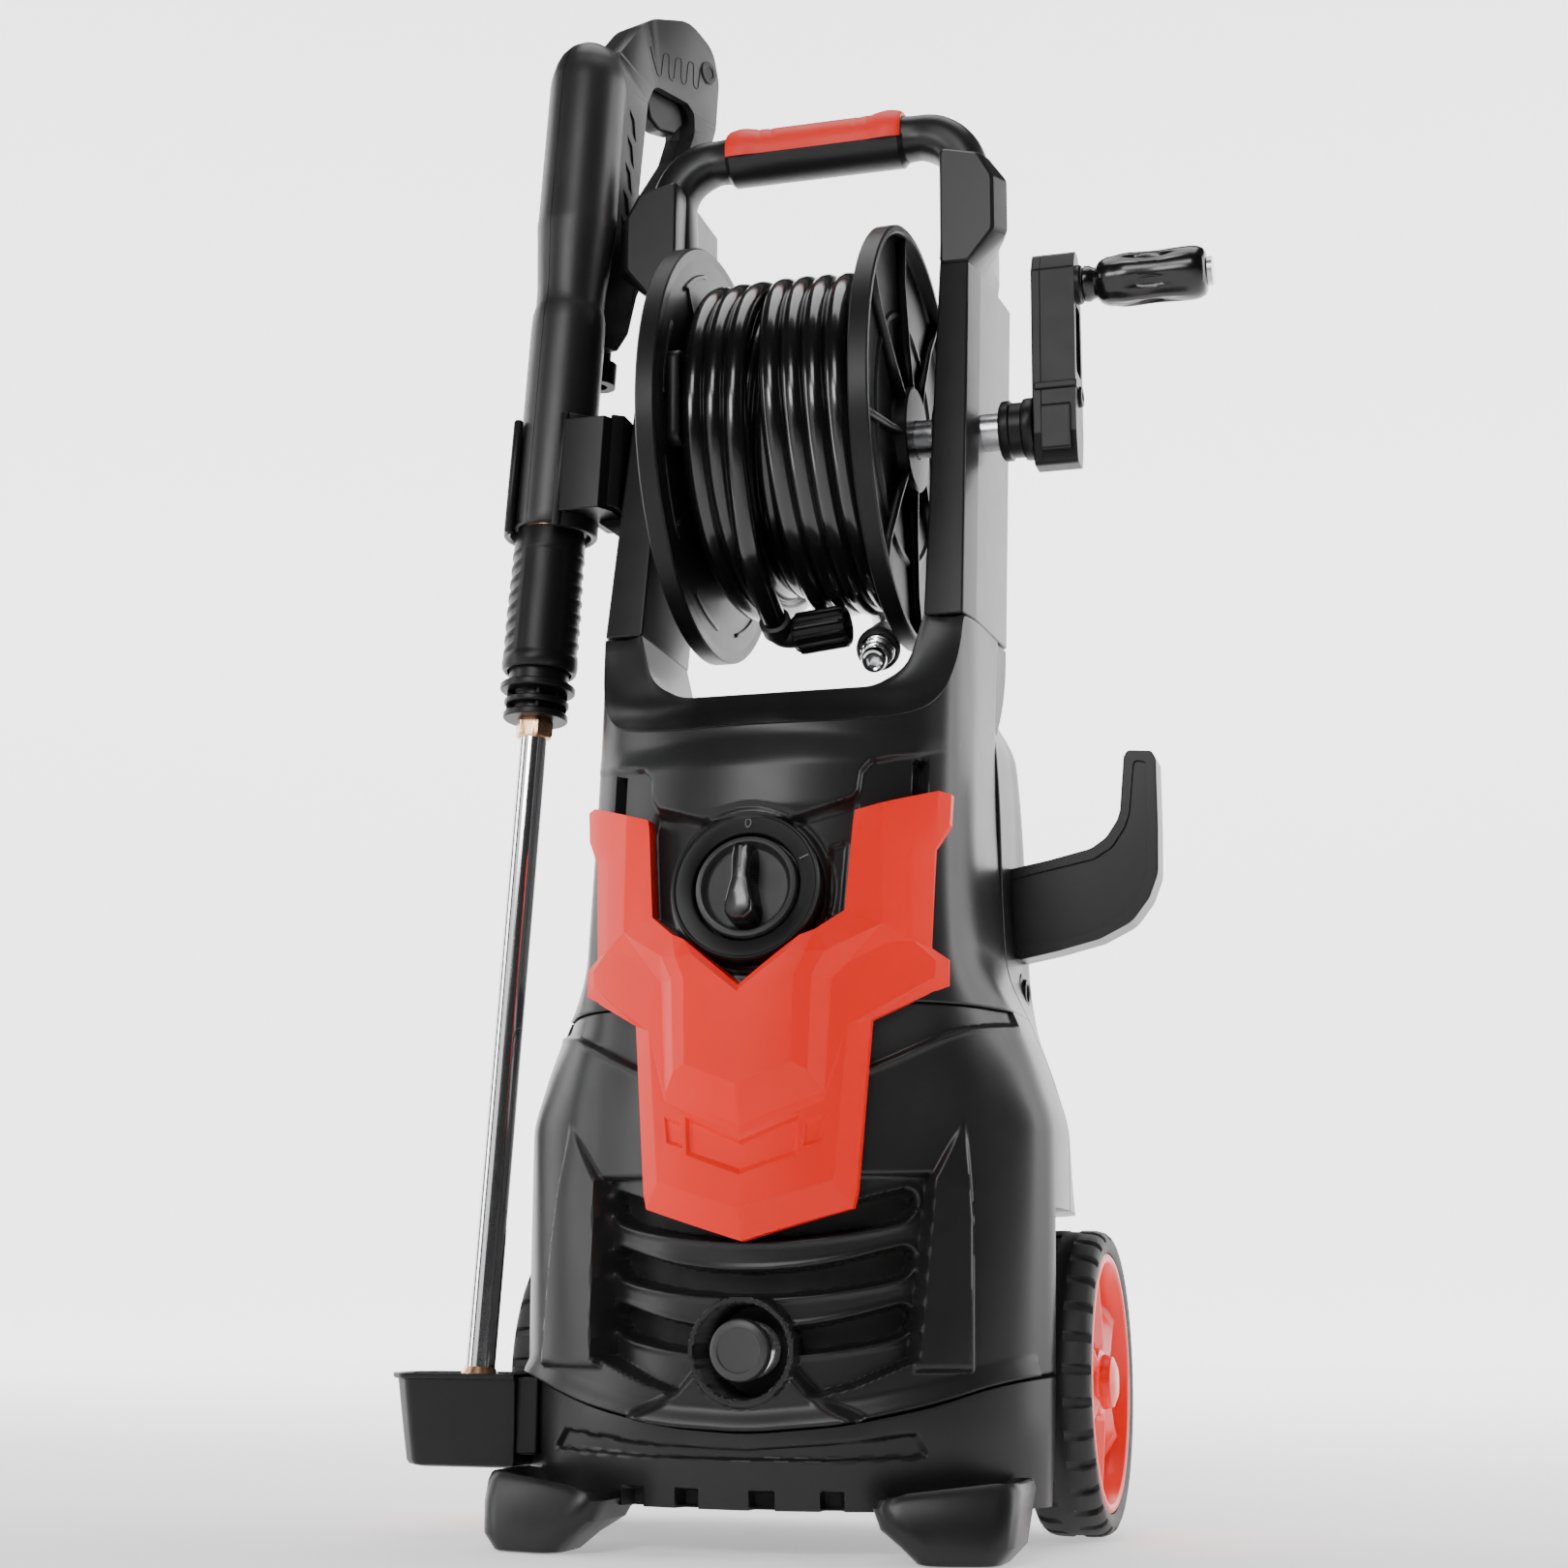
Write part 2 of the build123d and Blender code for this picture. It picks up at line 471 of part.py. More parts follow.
def gcyl(z0, z1, r, x=0.0):
    return GUN * (Pos(x, 0, W(z0)) * Cylinder(r, W(z1) - W(z0), align=(Align.CENTER, Align.CENTER, Align.MIN)))


def gtube(z0, z1, r, ri, x=0.0):
    return gcyl(z0, z1, r, x) - gcyl(z0 - 1, z1 + 1, ri, x)


def gprism(pts, t):
    """(distance from the lance axis, height) polygon, t thick about the gun's middle plane."""
    face = make_face(Polyline([(x, -t / 2.0, W(z)) for x, z in pts], close=True))
    return GUN * extrude(face, amount=t, dir=(0, 1, 0))


def grevolve(pts):
    face = make_face(Polyline([(r, 0, W(z)) for r, z in pts], close=True))
    return GUN * revolve(face, axis=Axis.Z)


barrel = grevolve([(0, 620), (24.0, 620), (24.5, 626), (24.5, 776), (26.0, 800), (26.0, 942), (23.5, 956), (17.0, 966), (8.0, 971), (0, 972)])
D_OUT = [(0, 752), (34, 758), (44, 775), (50, 806), (78, 866), (112, 930), (121, 965), (121, 1002), (112, 1024), (84, 1033), (40, 1012), (10, 968), (0, 950)]
D_WIN = [(50, 862), (66, 884), (92, 930), (99, 958), (96, 972), (52, 966), (46, 950), (44, 880)]
gunb = barrel + gprism(D_OUT, 27)
gunb = gunb - gprism(D_WIN, 60)
gunb = gunb - gprism([(40, 955), (100, 958), (102, 990), (46, 992)], 15.6)          # trigger pocket
gunb = gunb - gcyl(640, 935, 17.0)                                                     # valve bore
gunb = gunb - gcyl(600, 641, 10.0)
gunb = gunb - gcyl(750, 790, 6.0, 35.0)
gunb = gunb - (GUN * (Pos(54, 0, W(976)) * (Rot(90, 0, 0) * Cylinder(2.55, 21.2))))
GSPLIT_R = GUN * Pos(0, 100, 500) * Box(600, 200, 1400)
GSPLIT_L = GUN * Pos(0, -100, 500) * Box(600, 200, 1400)
put("gun_shell_left", gunb & GSPLIT_L)
put("gun_shell_right", gunb & GSPLIT_R)
trig = gprism([(48, 984), (60, 985), (90, 968), (94, 957), (86, 948), (68, 942), (57, 946), (48, 962)], 13.0)
trig = trig + (GUN * (Pos(54, 0, W(976)) * (Rot(90, 0, 0) * Cylinder(2.5, 21))))
put("trigger", trig)
put("gun_valve", gtube(641, 760, 17.0, 5.0) + gtube(760, 800, 9.0, 4.0) + gtube(545, 620, 20.4, 10.0) + gtube(620, 641, 10.0, 9.0))
put("gun_inlet_connector", gtube(736, 752, 10.5, 5.0, 35.0) + gtube(752, 786, 6.0, 4.0, 35.0))
scr = None
for x, z in ((108, 1004), (112, 948), (40, 800), (36, 925), (60, 1012)):
    for s in (1,):
        c = GUN * (Pos(x, 13.5, W(z)) * (Rot(-90, 0, 0) * Cylinder(3.6, 1.6, align=(Align.CENTER, Align.CENTER, Align.MIN))))
        scr = c if scr is None else scr + c
put("gun_screws", scr)

slv = [(20.5, 525), (23.0, 525), (24.5, 530), (23.4, 535)]
z = 535
while z < 606:
    slv += [(24.4, z + 4), (23.4, z + 8.5)]
    z += 8.5
slv += [(23.2, 612), (22.6, 619.3), (20.5, 619.3)]
put("lance_sleeve", grevolve(slv))
spool = [(9.05, 494), (20.5, 494), (20.5, 498.5), (14.5, 498.5), (14.5, 503), (20.5, 503), (20.5, 507), (14.5, 507), (14.5, 512.5), (24.0, 512.5), (24.0, 517), (19.0, 517), (19.0, 540), (9.9, 540), (9.9, 600), (6.0, 600), (6.0, 515), (9.05, 515)]
put("lance_spool", grevolve(spool))
nut = GUN * (Pos(0, 0, W(483)) * extrude(RegularPolygon(12.2, 6), amount=W(494) - W(483)))
put("lance_nut", nut - gcyl(480, 500, 9.0))
put("lance_tube", gtube(78, 515, 9.0, 7.0))
put("nozzle_tip", grevolve([(3.0, 50), (8.0, 50), (11.0, 56), (11.0, 92), (9.0, 96), (9.0, 78), (3.0, 78)]))

clip = gtube(627, 698, 31.0, 25.6)
clip_block = box(-150, -100, -24, 26, 630, 695)
clip = clip + (clip_block - gcyl(600, 720, 28.0))
clip = clip - prism_z([(-164, -14), (-228, -95), (-112, -95)], 600, 720)
clip = clip - mirror_x(ruled([upright_sec(560), upright_sec(780)])) - box(-108, -60, -60, 60, 600, 720)
put("lance_clip", clip)

# ---------------------------------------------------------------- drive inside the housing
can = cyl((0, 10, 225), (0, 0, 1), 60.0, 165) - cyl((0, 10, 231), (0, 0, 1), 55.0, 153) - cyl((0, 10, 200), (0, 0, 1), 8.0, 300)
stat = cyl((0, 10, 245), (0, 0, 1), 55.0, 125) - cyl((0, 10, 240), (0, 0, 1), 41.0, 140)
put("motor_can", can + stat)
put("motor_rotor", cyl((0, 10, 196), (0, 0, 1), 7.95, 226) + cyl((0, 10, 250), (0, 0, 1), 40.0, 115))
fan = cyl((0, 10, 396), (0, 0, 1), 14.0, 20)
fan = fan + cyl((0, 10, 396), (0, 0, 1), 50.0, 2.5)
for k in range(7):
    b = Pos(0, 10, 398) * (Rot(0, 0, 360.0 / 7 * k) * (Pos(31, 0, 0) * Box(38, 2.0, 16, align=(Align.CENTER, Align.CENTER, Align.MIN))))
    fan = fan + b
put("cooling_fan", fan - cyl((0, 10, 200), (0, 0, 1), 7.95, 300))
wob = (cyl((0, 10, 197), (0, 0, 1), 30.0, 16) & (Pos(0, 10, 205) * (Rot(0, 9, 0) * Cylinder(40, 9)))) - cyl((0, 10, 100), (0, 0, 1), 7.95, 300)
put("wobble_plate", wob)
ph = box(-48, 48, -38, 58, 128, 225) - cyl((0, 10, 186), (0, 0, 1), 36.0, 50) - cyl((0, 10, 100), (0, 0, 1), 8.3, 200)
for k in range(3):
    a = math.radians(90 + 120 * k)
    ph = ph - cyl((22 * math.cos(a), 10 + 22 * math.sin(a), 140), (0, 0, 1), 6.3, 70)
put("pump_head", ph)
pis = None
for k in range(3):
    a = math.radians(90 + 120 * k)
    c = cyl((22 * math.cos(a), 10 + 22 * math.sin(a), 143), (0, 0, 1), 6.0, 46)
    pis = c if pis is None else pis + c
put("pump_pistons", pis)

# high-pressure pipe from the pump up through the rear cover and the left upright to the reel
HP_PTS = [(-40, 45, 150), (-62, 62, 170), (-72, 66, 260), (-78, 60, 400), (-98, 36, 500), (-103, 34, 590), (-102, 34, 655)]
hp_radii = [25, 120, 200, 80, 200]
hp_path = FilletPolyline(*HP_PTS, radius=hp_radii)
print("high-pressure pipe arc radii, mm:", hp_radii)
hp = sweep(Plane(origin=hp_path @ 0, z_dir=hp_path % 0) * Circle(6.0), path=hp_path)
hp_clear = sweep(Plane(origin=hp_path @ 0, z_dir=hp_path % 0) * Circle(7.0), path=hp_path)
put("pressure_pipe", hp)
for n in ("rear_cover", "tower_cover", "reel_cradle", "upright_left", "pump_head"):
    NODES[n] = NODES[n] - hp_clear

# ---------------------------------------------------------------- fasteners
scr = None
for x in (-70, 70):
    for z in (120, 220, 320, 440):
        y = 148
        c = cyl((x, 100, z), (0, 1, 0), 3.0, 60)
        c = c & (body(1.6) - BODY_IN)
        c = c & box(-300, 300, 60, 300, 0, 600)
        NODES["rear_cover"] = NODES["rear_cover"] - cyl((x, 90, z), (0, 1, 0), 3.0, 80)
        scr = c if scr is None else scr + c
put("cover_screws", scr)

# ---------------------------------------------------------------- write
total = None
for old in os.listdir("parts"):
    if old.endswith(".step"):
        os.remove(os.path.join("parts", old))
for name, shape in NODES.items():
    s = Pos(OFF_X, OFF_Y, 0) * shape
    bb = s.bounding_box()
    total = bb if total is None else total.add(bb)
    export_step(s, f"parts/{name}.step")
print("nodes", len(NODES))
print("box", total.min, total.max)
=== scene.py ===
import math

import bmesh
import bpy
import numpy as np
from mathutils import Matrix, Vector
from mathutils.geometry import delaunay_2d_cdt


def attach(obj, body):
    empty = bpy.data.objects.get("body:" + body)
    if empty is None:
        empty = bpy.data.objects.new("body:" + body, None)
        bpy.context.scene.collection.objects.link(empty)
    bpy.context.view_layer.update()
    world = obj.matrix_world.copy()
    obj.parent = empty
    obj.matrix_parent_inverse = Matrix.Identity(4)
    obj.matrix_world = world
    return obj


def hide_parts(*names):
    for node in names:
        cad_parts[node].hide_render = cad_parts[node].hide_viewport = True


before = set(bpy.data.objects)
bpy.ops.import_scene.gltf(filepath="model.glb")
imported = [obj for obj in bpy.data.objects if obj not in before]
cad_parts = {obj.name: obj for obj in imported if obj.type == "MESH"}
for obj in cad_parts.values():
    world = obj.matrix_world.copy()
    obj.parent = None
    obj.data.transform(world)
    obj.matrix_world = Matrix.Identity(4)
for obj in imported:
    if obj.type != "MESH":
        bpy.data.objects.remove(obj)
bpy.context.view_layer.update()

OFF = np.array([-15.5, -7.5, 0.0])       # machine axes (mm) to the row frame


def m(p):
    """Machine millimetres to row metres."""
    return (np.asarray(p, float) + OFF) / 1000.0


# ------------------------------------------------------------------ camera
cam_data = bpy.data.cameras.new("camera")
cam = bpy.data.objects.new("camera", cam_data)
bpy.context.scene.collection.objects.link(cam)
cr = Vector((0.961496, 0.274770, 0.005139))
cu = Vector((0.052279, -0.201230, 0.978148))
cd = Vector((-0.269800, 0.940217, 0.207847))
rot = Matrix((cr, cu, -cd)).transposed().to_4x4()
cam.matrix_world = Matrix.Translation(Vector(m((400.29, -1435.20, 132.22)).tolist())) @ rot
cam_data.sensor_width = 36.0
cam_data.lens = 56.41
cam_data.clip_start, cam_data.clip_end = 0.02, 60.0
bpy.context.scene.camera = cam


# ------------------------------------------------------------------ materials
MATS = {}


def material(name, col, rough=0.4, metal=0.0, grain=900.0, bump=0.06, vary=0.12, rvary=0.08, coat=0.0, coat_rough=0.1, spec=0.5, brushed=None, sheen=0.0):
    if name in MATS:
        return MATS[name]
    mt = bpy.data.materials.new(name)
    mt.use_nodes = True
    nt = mt.node_tree
    nt.nodes.clear()
    out = nt.nodes.new("ShaderNodeOutputMaterial")
    bs = nt.nodes.new("ShaderNodeBsdfPrincipled")
    nt.links.new(bs.outputs["BSDF"], out.inputs["Surface"])
    bs.inputs["Metallic"].default_value = metal
    bs.inputs["Coat Weight"].default_value = coat
    bs.inputs["Coat Roughness"].default_value = coat_rough
    bs.inputs["Specular IOR Level"].default_value = spec
    bs.inputs["Sheen Weight"].default_value = sheen
    tc = nt.nodes.new("ShaderNodeTexCoord")
    big = nt.nodes.new("ShaderNodeTexNoise")
    big.inputs["Scale"].default_value = 14.0
    big.inputs["Detail"].default_value = 4.0
    nt.links.new(tc.outputs["Object"], big.inputs["Vector"])
    ramp = nt.nodes.new("ShaderNodeValToRGB")
    c = np.array(col)
    ramp.color_ramp.elements[0].position = 0.3
    ramp.color_ramp.elements[1].position = 0.7
    ramp.color_ramp.elements[0].color = (*np.clip(c * (1 - vary), 0, 1), 1)
    ramp.color_ramp.elements[1].color = (*np.clip(c * (1 + vary), 0, 1), 1)
    nt.links.new(big.outputs["Fac"], ramp.inputs["Fac"])
    nt.links.new(ramp.outputs["Color"], bs.inputs["Base Color"])
    fine = nt.nodes.new("ShaderNodeTexNoise")
    fine.inputs["Scale"].default_value = grain
    fine.inputs["Detail"].default_value = 3.0
    if brushed is not None:
        mp = nt.nodes.new("ShaderNodeMapping")
        mp.inputs["Scale"].default_value = brushed
        nt.links.new(tc.outputs["Object"], mp.inputs["Vector"])
        nt.links.new(mp.outputs["Vector"], fine.inputs["Vector"])
    else:
        nt.links.new(tc.outputs["Object"], fine.inputs["Vector"])
    mr = nt.nodes.new("ShaderNodeMapRange")
    mr.inputs["To Min"].default_value = max(0.0, rough - rvary)
    mr.inputs["To Max"].default_value = min(1.0, rough + rvary)
    mid = nt.nodes.new("ShaderNodeTexNoise")
    mid.inputs["Scale"].default_value = 60.0
    mid.inputs["Detail"].default_value = 5.0
    nt.links.new(tc.outputs["Object"], mid.inputs["Vector"])
    nt.links.new(mid.outputs["Fac"], mr.inputs["Value"])
    nt.links.new(mr.outputs["Result"], bs.inputs["Roughness"])
    bp = nt.nodes.new("ShaderNodeBump")
    bp.inputs["Strength"].default_value = bump
    bp.inputs["Distance"].default_value = 0.0004
    nt.links.new(fine.outputs["Fac"], bp.inputs["Height"])
    nt.links.new(bp.outputs["Normal"], bs.inputs["Normal"])
    MATS[name] = mt
    return mt


CHARCOAL = material("charcoal_plastic", (0.0125, 0.0125, 0.013), rough=0.33, bump=0.07, spec=0.34, rvary=0.035)
DARK = material("dark_plastic", (0.0065, 0.0065, 0.007), rough=0.38, bump=0.08, rvary=0.05, spec=0.26)
BLACK = material("gloss_black_plastic", (0.005, 0.005, 0.0055), rough=0.22, bump=0.04, rvary=0.04, coat=0.2)
GUN = material("gun_plastic", (0.012, 0.012, 0.0125), rough=0.40, bump=0.12, rvary=0.05)
GREY = material("mid_grey_plastic", (0.030, 0.030, 0.032), rough=0.40, bump=0.10)
# painted shade: near-black colour for the bottoms of holes and slots, standing in for the shade inside them
HOLE_SHADE = material("painted_hole_shade", (0.003, 0.003, 0.003), rough=0.75, bump=0.1)
RED = material("accent_red", (0.90, 0.012, 0.004), rough=0.42, bump=0.05, vary=0.04, rvary=0.05, spec=0.26)
RED_GRIP = material("grip_red", (0.85, 0.016, 0.006), rough=0.48, bump=0.20, vary=0.05, spec=0.4)
RED_HUB = material("hub_red", (0.90, 0.016, 0.004), rough=0.36, bump=0.06, vary=0.05, coat=0.1, spec=0.4)
TYRE = material("tyre_rubber", (0.012, 0.012, 0.012), rough=0.62, bump=0.30, grain=500)
HOSE = material("hose_rubber", (0.005, 0.005, 0.0055), rough=0.20, bump=0.05, coat=0.5, coat_rough=0.12, rvary=0.05)
BOOT = material("boot_rubber", (0.010, 0.010, 0.010), rough=0.5, bump=0.2)
CHROME = material("chrome_plate", (0.90, 0.90, 0.92), rough=0.13, metal=1.0, vary=0.02, rvary=0.03, bump=0.02, grain=200, brushed=(1, 1, 0.02))
STEEL = material("zinc_steel", (0.60, 0.60, 0.62), rough=0.28, metal=1.0, vary=0.05, bump=0.06)
ALU = material("cast_aluminium", (0.62, 0.62, 0.64), rough=0.45, metal=1.0, vary=0.08, bump=0.3, grain=300)
BRASS = material("brass", (0.80, 0.47, 0.27), rough=0.26, metal=1.0, vary=0.06, bump=0.05)


# ------------------------------------------------------------------ mesh helpers
def new_mesh(name, verts, faces, mat, body="chassis", smooth=True, mm=True, mats=None, fmat=None):
    me = bpy.data.meshes.new(name)
    v = m(verts) if mm else np.asarray(verts, float)
    me.from_pydata([tuple(p) for p in v.tolist()], [], [tuple(int(i) for i in f) for f in faces])
    for mt in (mats or [mat]):
        me.materials.append(mt)
    if fmat is not None:
        me.polygons.foreach_set("material_index", fmat)
    if smooth:
        me.polygons.foreach_set("use_smooth", [True] * len(me.polygons))
    me.update()
    o = bpy.data.objects.new(name, me)
    bpy.context.scene.collection.objects.link(o)
    if body:
        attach(o, body)
    return o


def clean(o, dist=1e-5, outward=True):
    bm = bmesh.new()
    bm.from_mesh(o.data)
    bmesh.ops.remove_doubles(bm, verts=bm.verts, dist=dist)
    if outward:
        bmesh.ops.recalc_face_normals(bm, faces=bm.faces)
    bm.to_mesh(o.data)
    bm.free()
    o.data.update()


def sharp_by_angle(o, deg=30.0):
    me = o.data
    bm = bmesh.new()
    bm.from_mesh(me)
    lim = math.radians(deg)
    for e in bm.edges:
        if len(e.link_faces) == 2:
            e.smooth = e.calc_face_angle(0.0) < lim
    for f in bm.faces:
        f.smooth = True
    bm.to_mesh(me)
    bm.free()


def bevel(o, width, seg=3, angle=28.0, weighted=True):
    b = o.modifiers.new("bevel", "BEVEL")
    b.width = width / 1000.0
    b.segments = seg
    b.limit_method = "ANGLE"
    b.angle_limit = math.radians(angle)
    b.harden_normals = True
    b.use_clamp_overlap = True
    me = o.data
    me.polygons.foreach_set("use_smooth", [True] * len(me.polygons))
    if weighted:
        w = o.modifiers.new("weighted", "WEIGHTED_NORMAL")
        w.keep_sharp = True
    return o


def apply_mods(o):
    dg = bpy.context.evaluated_depsgraph_get()
    ev = o.evaluated_get(dg)
    me = bpy.data.meshes.new_from_object(ev)
    old = o.data
    o.modifiers.clear()
    o.data = me
    bpy.data.meshes.remove(old)


def round_poly(pts, r, seg=5):
    """Rounds the corners of a closed polygon. r is one radius or one per corner."""
    n = len(pts)
    rs = [r] * n if np.isscalar(r) else list(r)
    out = []
    P = [np.array(p, float) for p in pts]
    for i in range(n):
        a, b, c = P[i - 1], P[i], P[(i + 1) % n]
        u, v = a - b, c - b
        lu, lv = np.linalg.norm(u), np.linalg.norm(v)
        u, v = u / lu, v / lv
        cosang = float(np.clip(u @ v, -1, 1))
        half = math.acos(cosang) / 2
        if rs[i] <= 0 or half > math.pi / 2 - 0.02:
            out.append(b)
            continue
        t = min(rs[i] / math.tan(half), 0.48 * lu, 0.48 * lv)
        p0, p1 = b + u * t, b + v * t
        for k in range(seg + 1):
            s = k / seg
            out.append((1 - s) ** 2 * p0 + 2 * s * (1 - s) * b + s * s * p1)
    return out


def loft(name, rings, mat, body="chassis", caps=True, smooth=True, closed=True):
    """Rings are lists of the same number of 3-D points (mm)."""
    n = len(rings[0])
    verts = np.concatenate([np.asarray(r, float) for r in rings])
    faces = []
    for j in range(len(rings) - 1):
        for i in range(n if closed else n - 1):
            a, b = j * n + i, j * n + (i + 1) % n
            faces.append((a, b, b + n, a + n))
    if caps:
        faces.append(tuple(reversed(range(n))))
        faces.append(tuple(range((len(rings) - 1) * n, len(rings) * n)))
    o = new_mesh(name, verts, faces, mat, body, smooth)
    clean(o)
    return o


def plate(name, outline, holes, origin, ax, ay, half, bev, mat, body="chassis", seg=3):
    """Flat outline with holes, as thick as 2*half + 0, with rounded edges. ax and ay span its plane; mm."""
    ax, ay = np.array(ax, float), np.array(ay, float)
    az = np.cross(ax, ay)
    az /= np.linalg.norm(az)
    loops = [outline] + list(holes)
    co, ed, base = [], [], 0
    for lp in loops:
        k = len(lp)
        co += [Vector((float(p[0]), float(p[1]))) for p in lp]
        ed += [(base + i, base + (i + 1) % k) for i in range(k)]
        base += k
    vs, es, fs, _, _, _ = delaunay_2d_cdt(co, ed, [], 1 if not holes else 0, 1e-4)
    pts2 = np.array([[v.x, v.y] for v in vs])
    if holes:
        kept = []
        for f in fs:
            c = pts2[list(f)].mean(0)
            cx, cy = np.array([c[0]]), np.array([c[1]])
            if poly_sd(cx, cy, outline)[0] > 0 and all(poly_sd(cx, cy, h)[0] < 0 for h in holes):
                kept.append(f)
        fs = kept
    o3 = np.array(origin, float)
    top = o3 + pts2[:, :1] * ax + pts2[:, 1:] * ay + az * half
    bot = o3 + pts2[:, :1] * ax + pts2[:, 1:] * ay - az * half
    nv = len(pts2)
    count = {}
    for f in fs:
        for i in range(len(f)):
            e = (f[i], f[(i + 1) % len(f)])
            count[e] = count.get(e, 0) + 1
    faces = [tuple(f) for f in fs] + [tuple(nv + i for i in reversed(f)) for f in fs]
    for (a, b) in count:
        if (b, a) not in count:
            faces.append((b, a, a + nv, b + nv))
    o = new_mesh(name, np.concatenate([top, bot]), faces, mat, body)
    clean(o)
    if not holes:
        bm = bmesh.new()
        bm.from_mesh(o.data)
        bmesh.ops.dissolve_limit(bm, angle_limit=math.radians(1), verts=bm.verts, edges=bm.edges)
        bm.to_mesh(o.data)
        bm.free()
    if bev:
        bevel(o, bev, seg, 40)
    return o


def frame_of(p, d, ref=(0, 0, 1)):
    d = np.array(d, float)
    d /= np.linalg.norm(d)
    ref = np.array(ref, float)
    if abs(d @ ref) > 0.95:
        ref = np.array((1.0, 0, 0))
    x = ref - d * (ref @ d)
    x /= np.linalg.norm(x)
    y = np.cross(d, x)
    return np.array(p, float), x, y, d


def revolve(name, prof, p, d, mat, body="chassis", n=64, ref=(0, 0, 1), radial=None, sharp=32, seg_mats=None):
    """prof: (radius, distance along d) points. Ends with radius 0 close the form."""
    o3, x, y, z = frame_of(p, d, ref)
    verts, rows = [], []
    for k, (r, h) in enumerate(prof):
        if r <= 1e-6:
            rows.append([len(verts)])
            verts.append(o3 + z * h)
        else:
            row = []
            for i in range(n):
                t = 2 * math.pi * i / n
                rr = r if radial is None else radial(r, t, h)
                row.append(len(verts))
                verts.append(o3 + x * rr * math.cos(t) + y * rr * math.sin(t) + z * h)
            rows.append(row)
    faces = []
    for a, b in zip(rows, rows[1:]):
        if len(a) == 1 and len(b) == 1:
            continue
        for i in range(n):
            j = (i + 1) % n
            if len(a) == 1:
                faces.append((a[0], b[j], b[i]))
            elif len(b) == 1:
                faces.append((a[i], a[j], b[0]))
            else:
                faces.append((a[i], a[j], b[j], b[i]))
    closed = prof[0] == prof[-1]
    if not closed:
        if len(rows[0]) > 1:
            faces.append(tuple(reversed(rows[0])))
        if len(rows[-1]) > 1:
            faces.append(tuple(rows[-1]))
    o = new_mesh(name, verts, faces, mat, body)
    clean(o)
    if sharp:
        sharp_by_angle(o, sharp)
    return o


def join(name, objs, body="chassis"):
    """One mesh object out of several, with their modifiers applied."""
    bm = bmesh.new()
    mats = []
    for o in objs:
        apply_mods(o)
        me = o.data
        idx = []
        for mt in me.materials:
            if mt not in mats:
                mats.append(mt)
            idx.append(mats.index(mt))
        start = len(bm.faces)
        bm.from_mesh(me)
        bm.faces.ensure_lookup_table()
        for f in bm.faces[start:]:
            f.material_index = idx[f.material_index] if idx else 0
    me = bpy.data.meshes.new(name)
    bm.to_mesh(me)
    bm.free()
    for mt in mats:
        me.materials.append(mt)
    for o in objs:
        bpy.data.objects.remove(o, do_unlink=True)
    r = bpy.data.objects.new(name, me)
    bpy.context.scene.collection.objects.link(r)
    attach(r, body)
    return r


def mirrored(o, name, body="chassis"):
    """A copy mirrored about the machine's middle plane."""
    apply_mods(o)
    me = o.data.copy()
    co = np.empty(len(me.vertices) * 3)
    me.vertices.foreach_get("co", co)
    co = co.reshape(-1, 3)
    co[:, 0] = 2 * OFF[0] / 1000.0 - co[:, 0]
    me.vertices.foreach_set("co", co.ravel())
    me.flip_normals()
    me.update()
    r = bpy.data.objects.new(name, me)
    bpy.context.scene.collection.objects.link(r)
    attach(r, body)
    return r


def sm(t):
    t = np.clip(t, 0.0, 1.0)
    return t * t * (3 - 2 * t)


def poly_sd(X, Z, pts):
    """Signed distance to a closed polygon, positive inside."""
    P = np.array(pts, float)
    d = np.full(X.shape, 1e9)
    inside = np.zeros(X.shape, bool)
    n = len(P)
    for i in range(n):
        ax, az = P[i]
        bx, bz = P[(i + 1) % n]
        ex, ez = bx - ax, bz - az
        t = np.clip(((X - ax) * ex + (Z - az) * ez) / (ex * ex + ez * ez), 0, 1)
        d = np.minimum(d, np.hypot(X - ax - t * ex, Z - az - t * ez))
        cond = (az > Z) != (bz > Z)
        with np.errstate(divide="ignore", invalid="ignore"):
            xi = (bx - ax) * (Z - az) / (bz - az if bz != az else 1e-9) + ax
        inside ^= cond & (X < xi)
    return np.where(inside, d, -d)


# ------------------------------------------------------------------ the hose on its reel
REEL = np.array([0.0, 13.9, 671.8])


def on_reel(x, deg, r):
    a = math.radians(deg)
    return (x, REEL[1] + r * math.cos(a), REEL[2] + r * math.sin(a))


HOSE_D = 15.5
hose_pts = [(-17.0, -2.0, 553.0), on_reel(-18.0, -125, 120.0), on_reel(-18.5, -152, 106.0)]
STEP = 360.0 / 16
COSF = 1.0 / math.cos(math.radians(STEP / 2))


def wind(start_deg, turns, x0, x1, r0, r1, wob=0.0, seed=0):
    """Control points of a winding, one each STEP degrees, angle falling. Each turn sits straight, and steps across in its last quarter."""
    pts = []
    n = int(round(turns * 16))
    rng = np.random.RandomState(seed)
    ph = rng.uniform(0, 6.28, 4)
    for k in range(n + 1):
        s = k / n
        t = s * turns
        whole = math.floor(t)
        frac = t - whole
        q = float(sm((frac - 0.55) / 0.45))
        prog = min(1.0, (whole + q) / turns)
        x = x0 + (x1 - x0) * prog
        ang = start_deg - STEP * k
        r = r0 + (r1 - r0) * s
        w = wob * (math.sin(3.1 * t + ph[0]) + 0.6 * math.sin(7.3 * t + ph[1]))
        pts.append(on_reel(x + 0.5 * wob * math.sin(5.2 * t + ph[2]), ang, (r + w * 0.5) * COSF))
    return pts


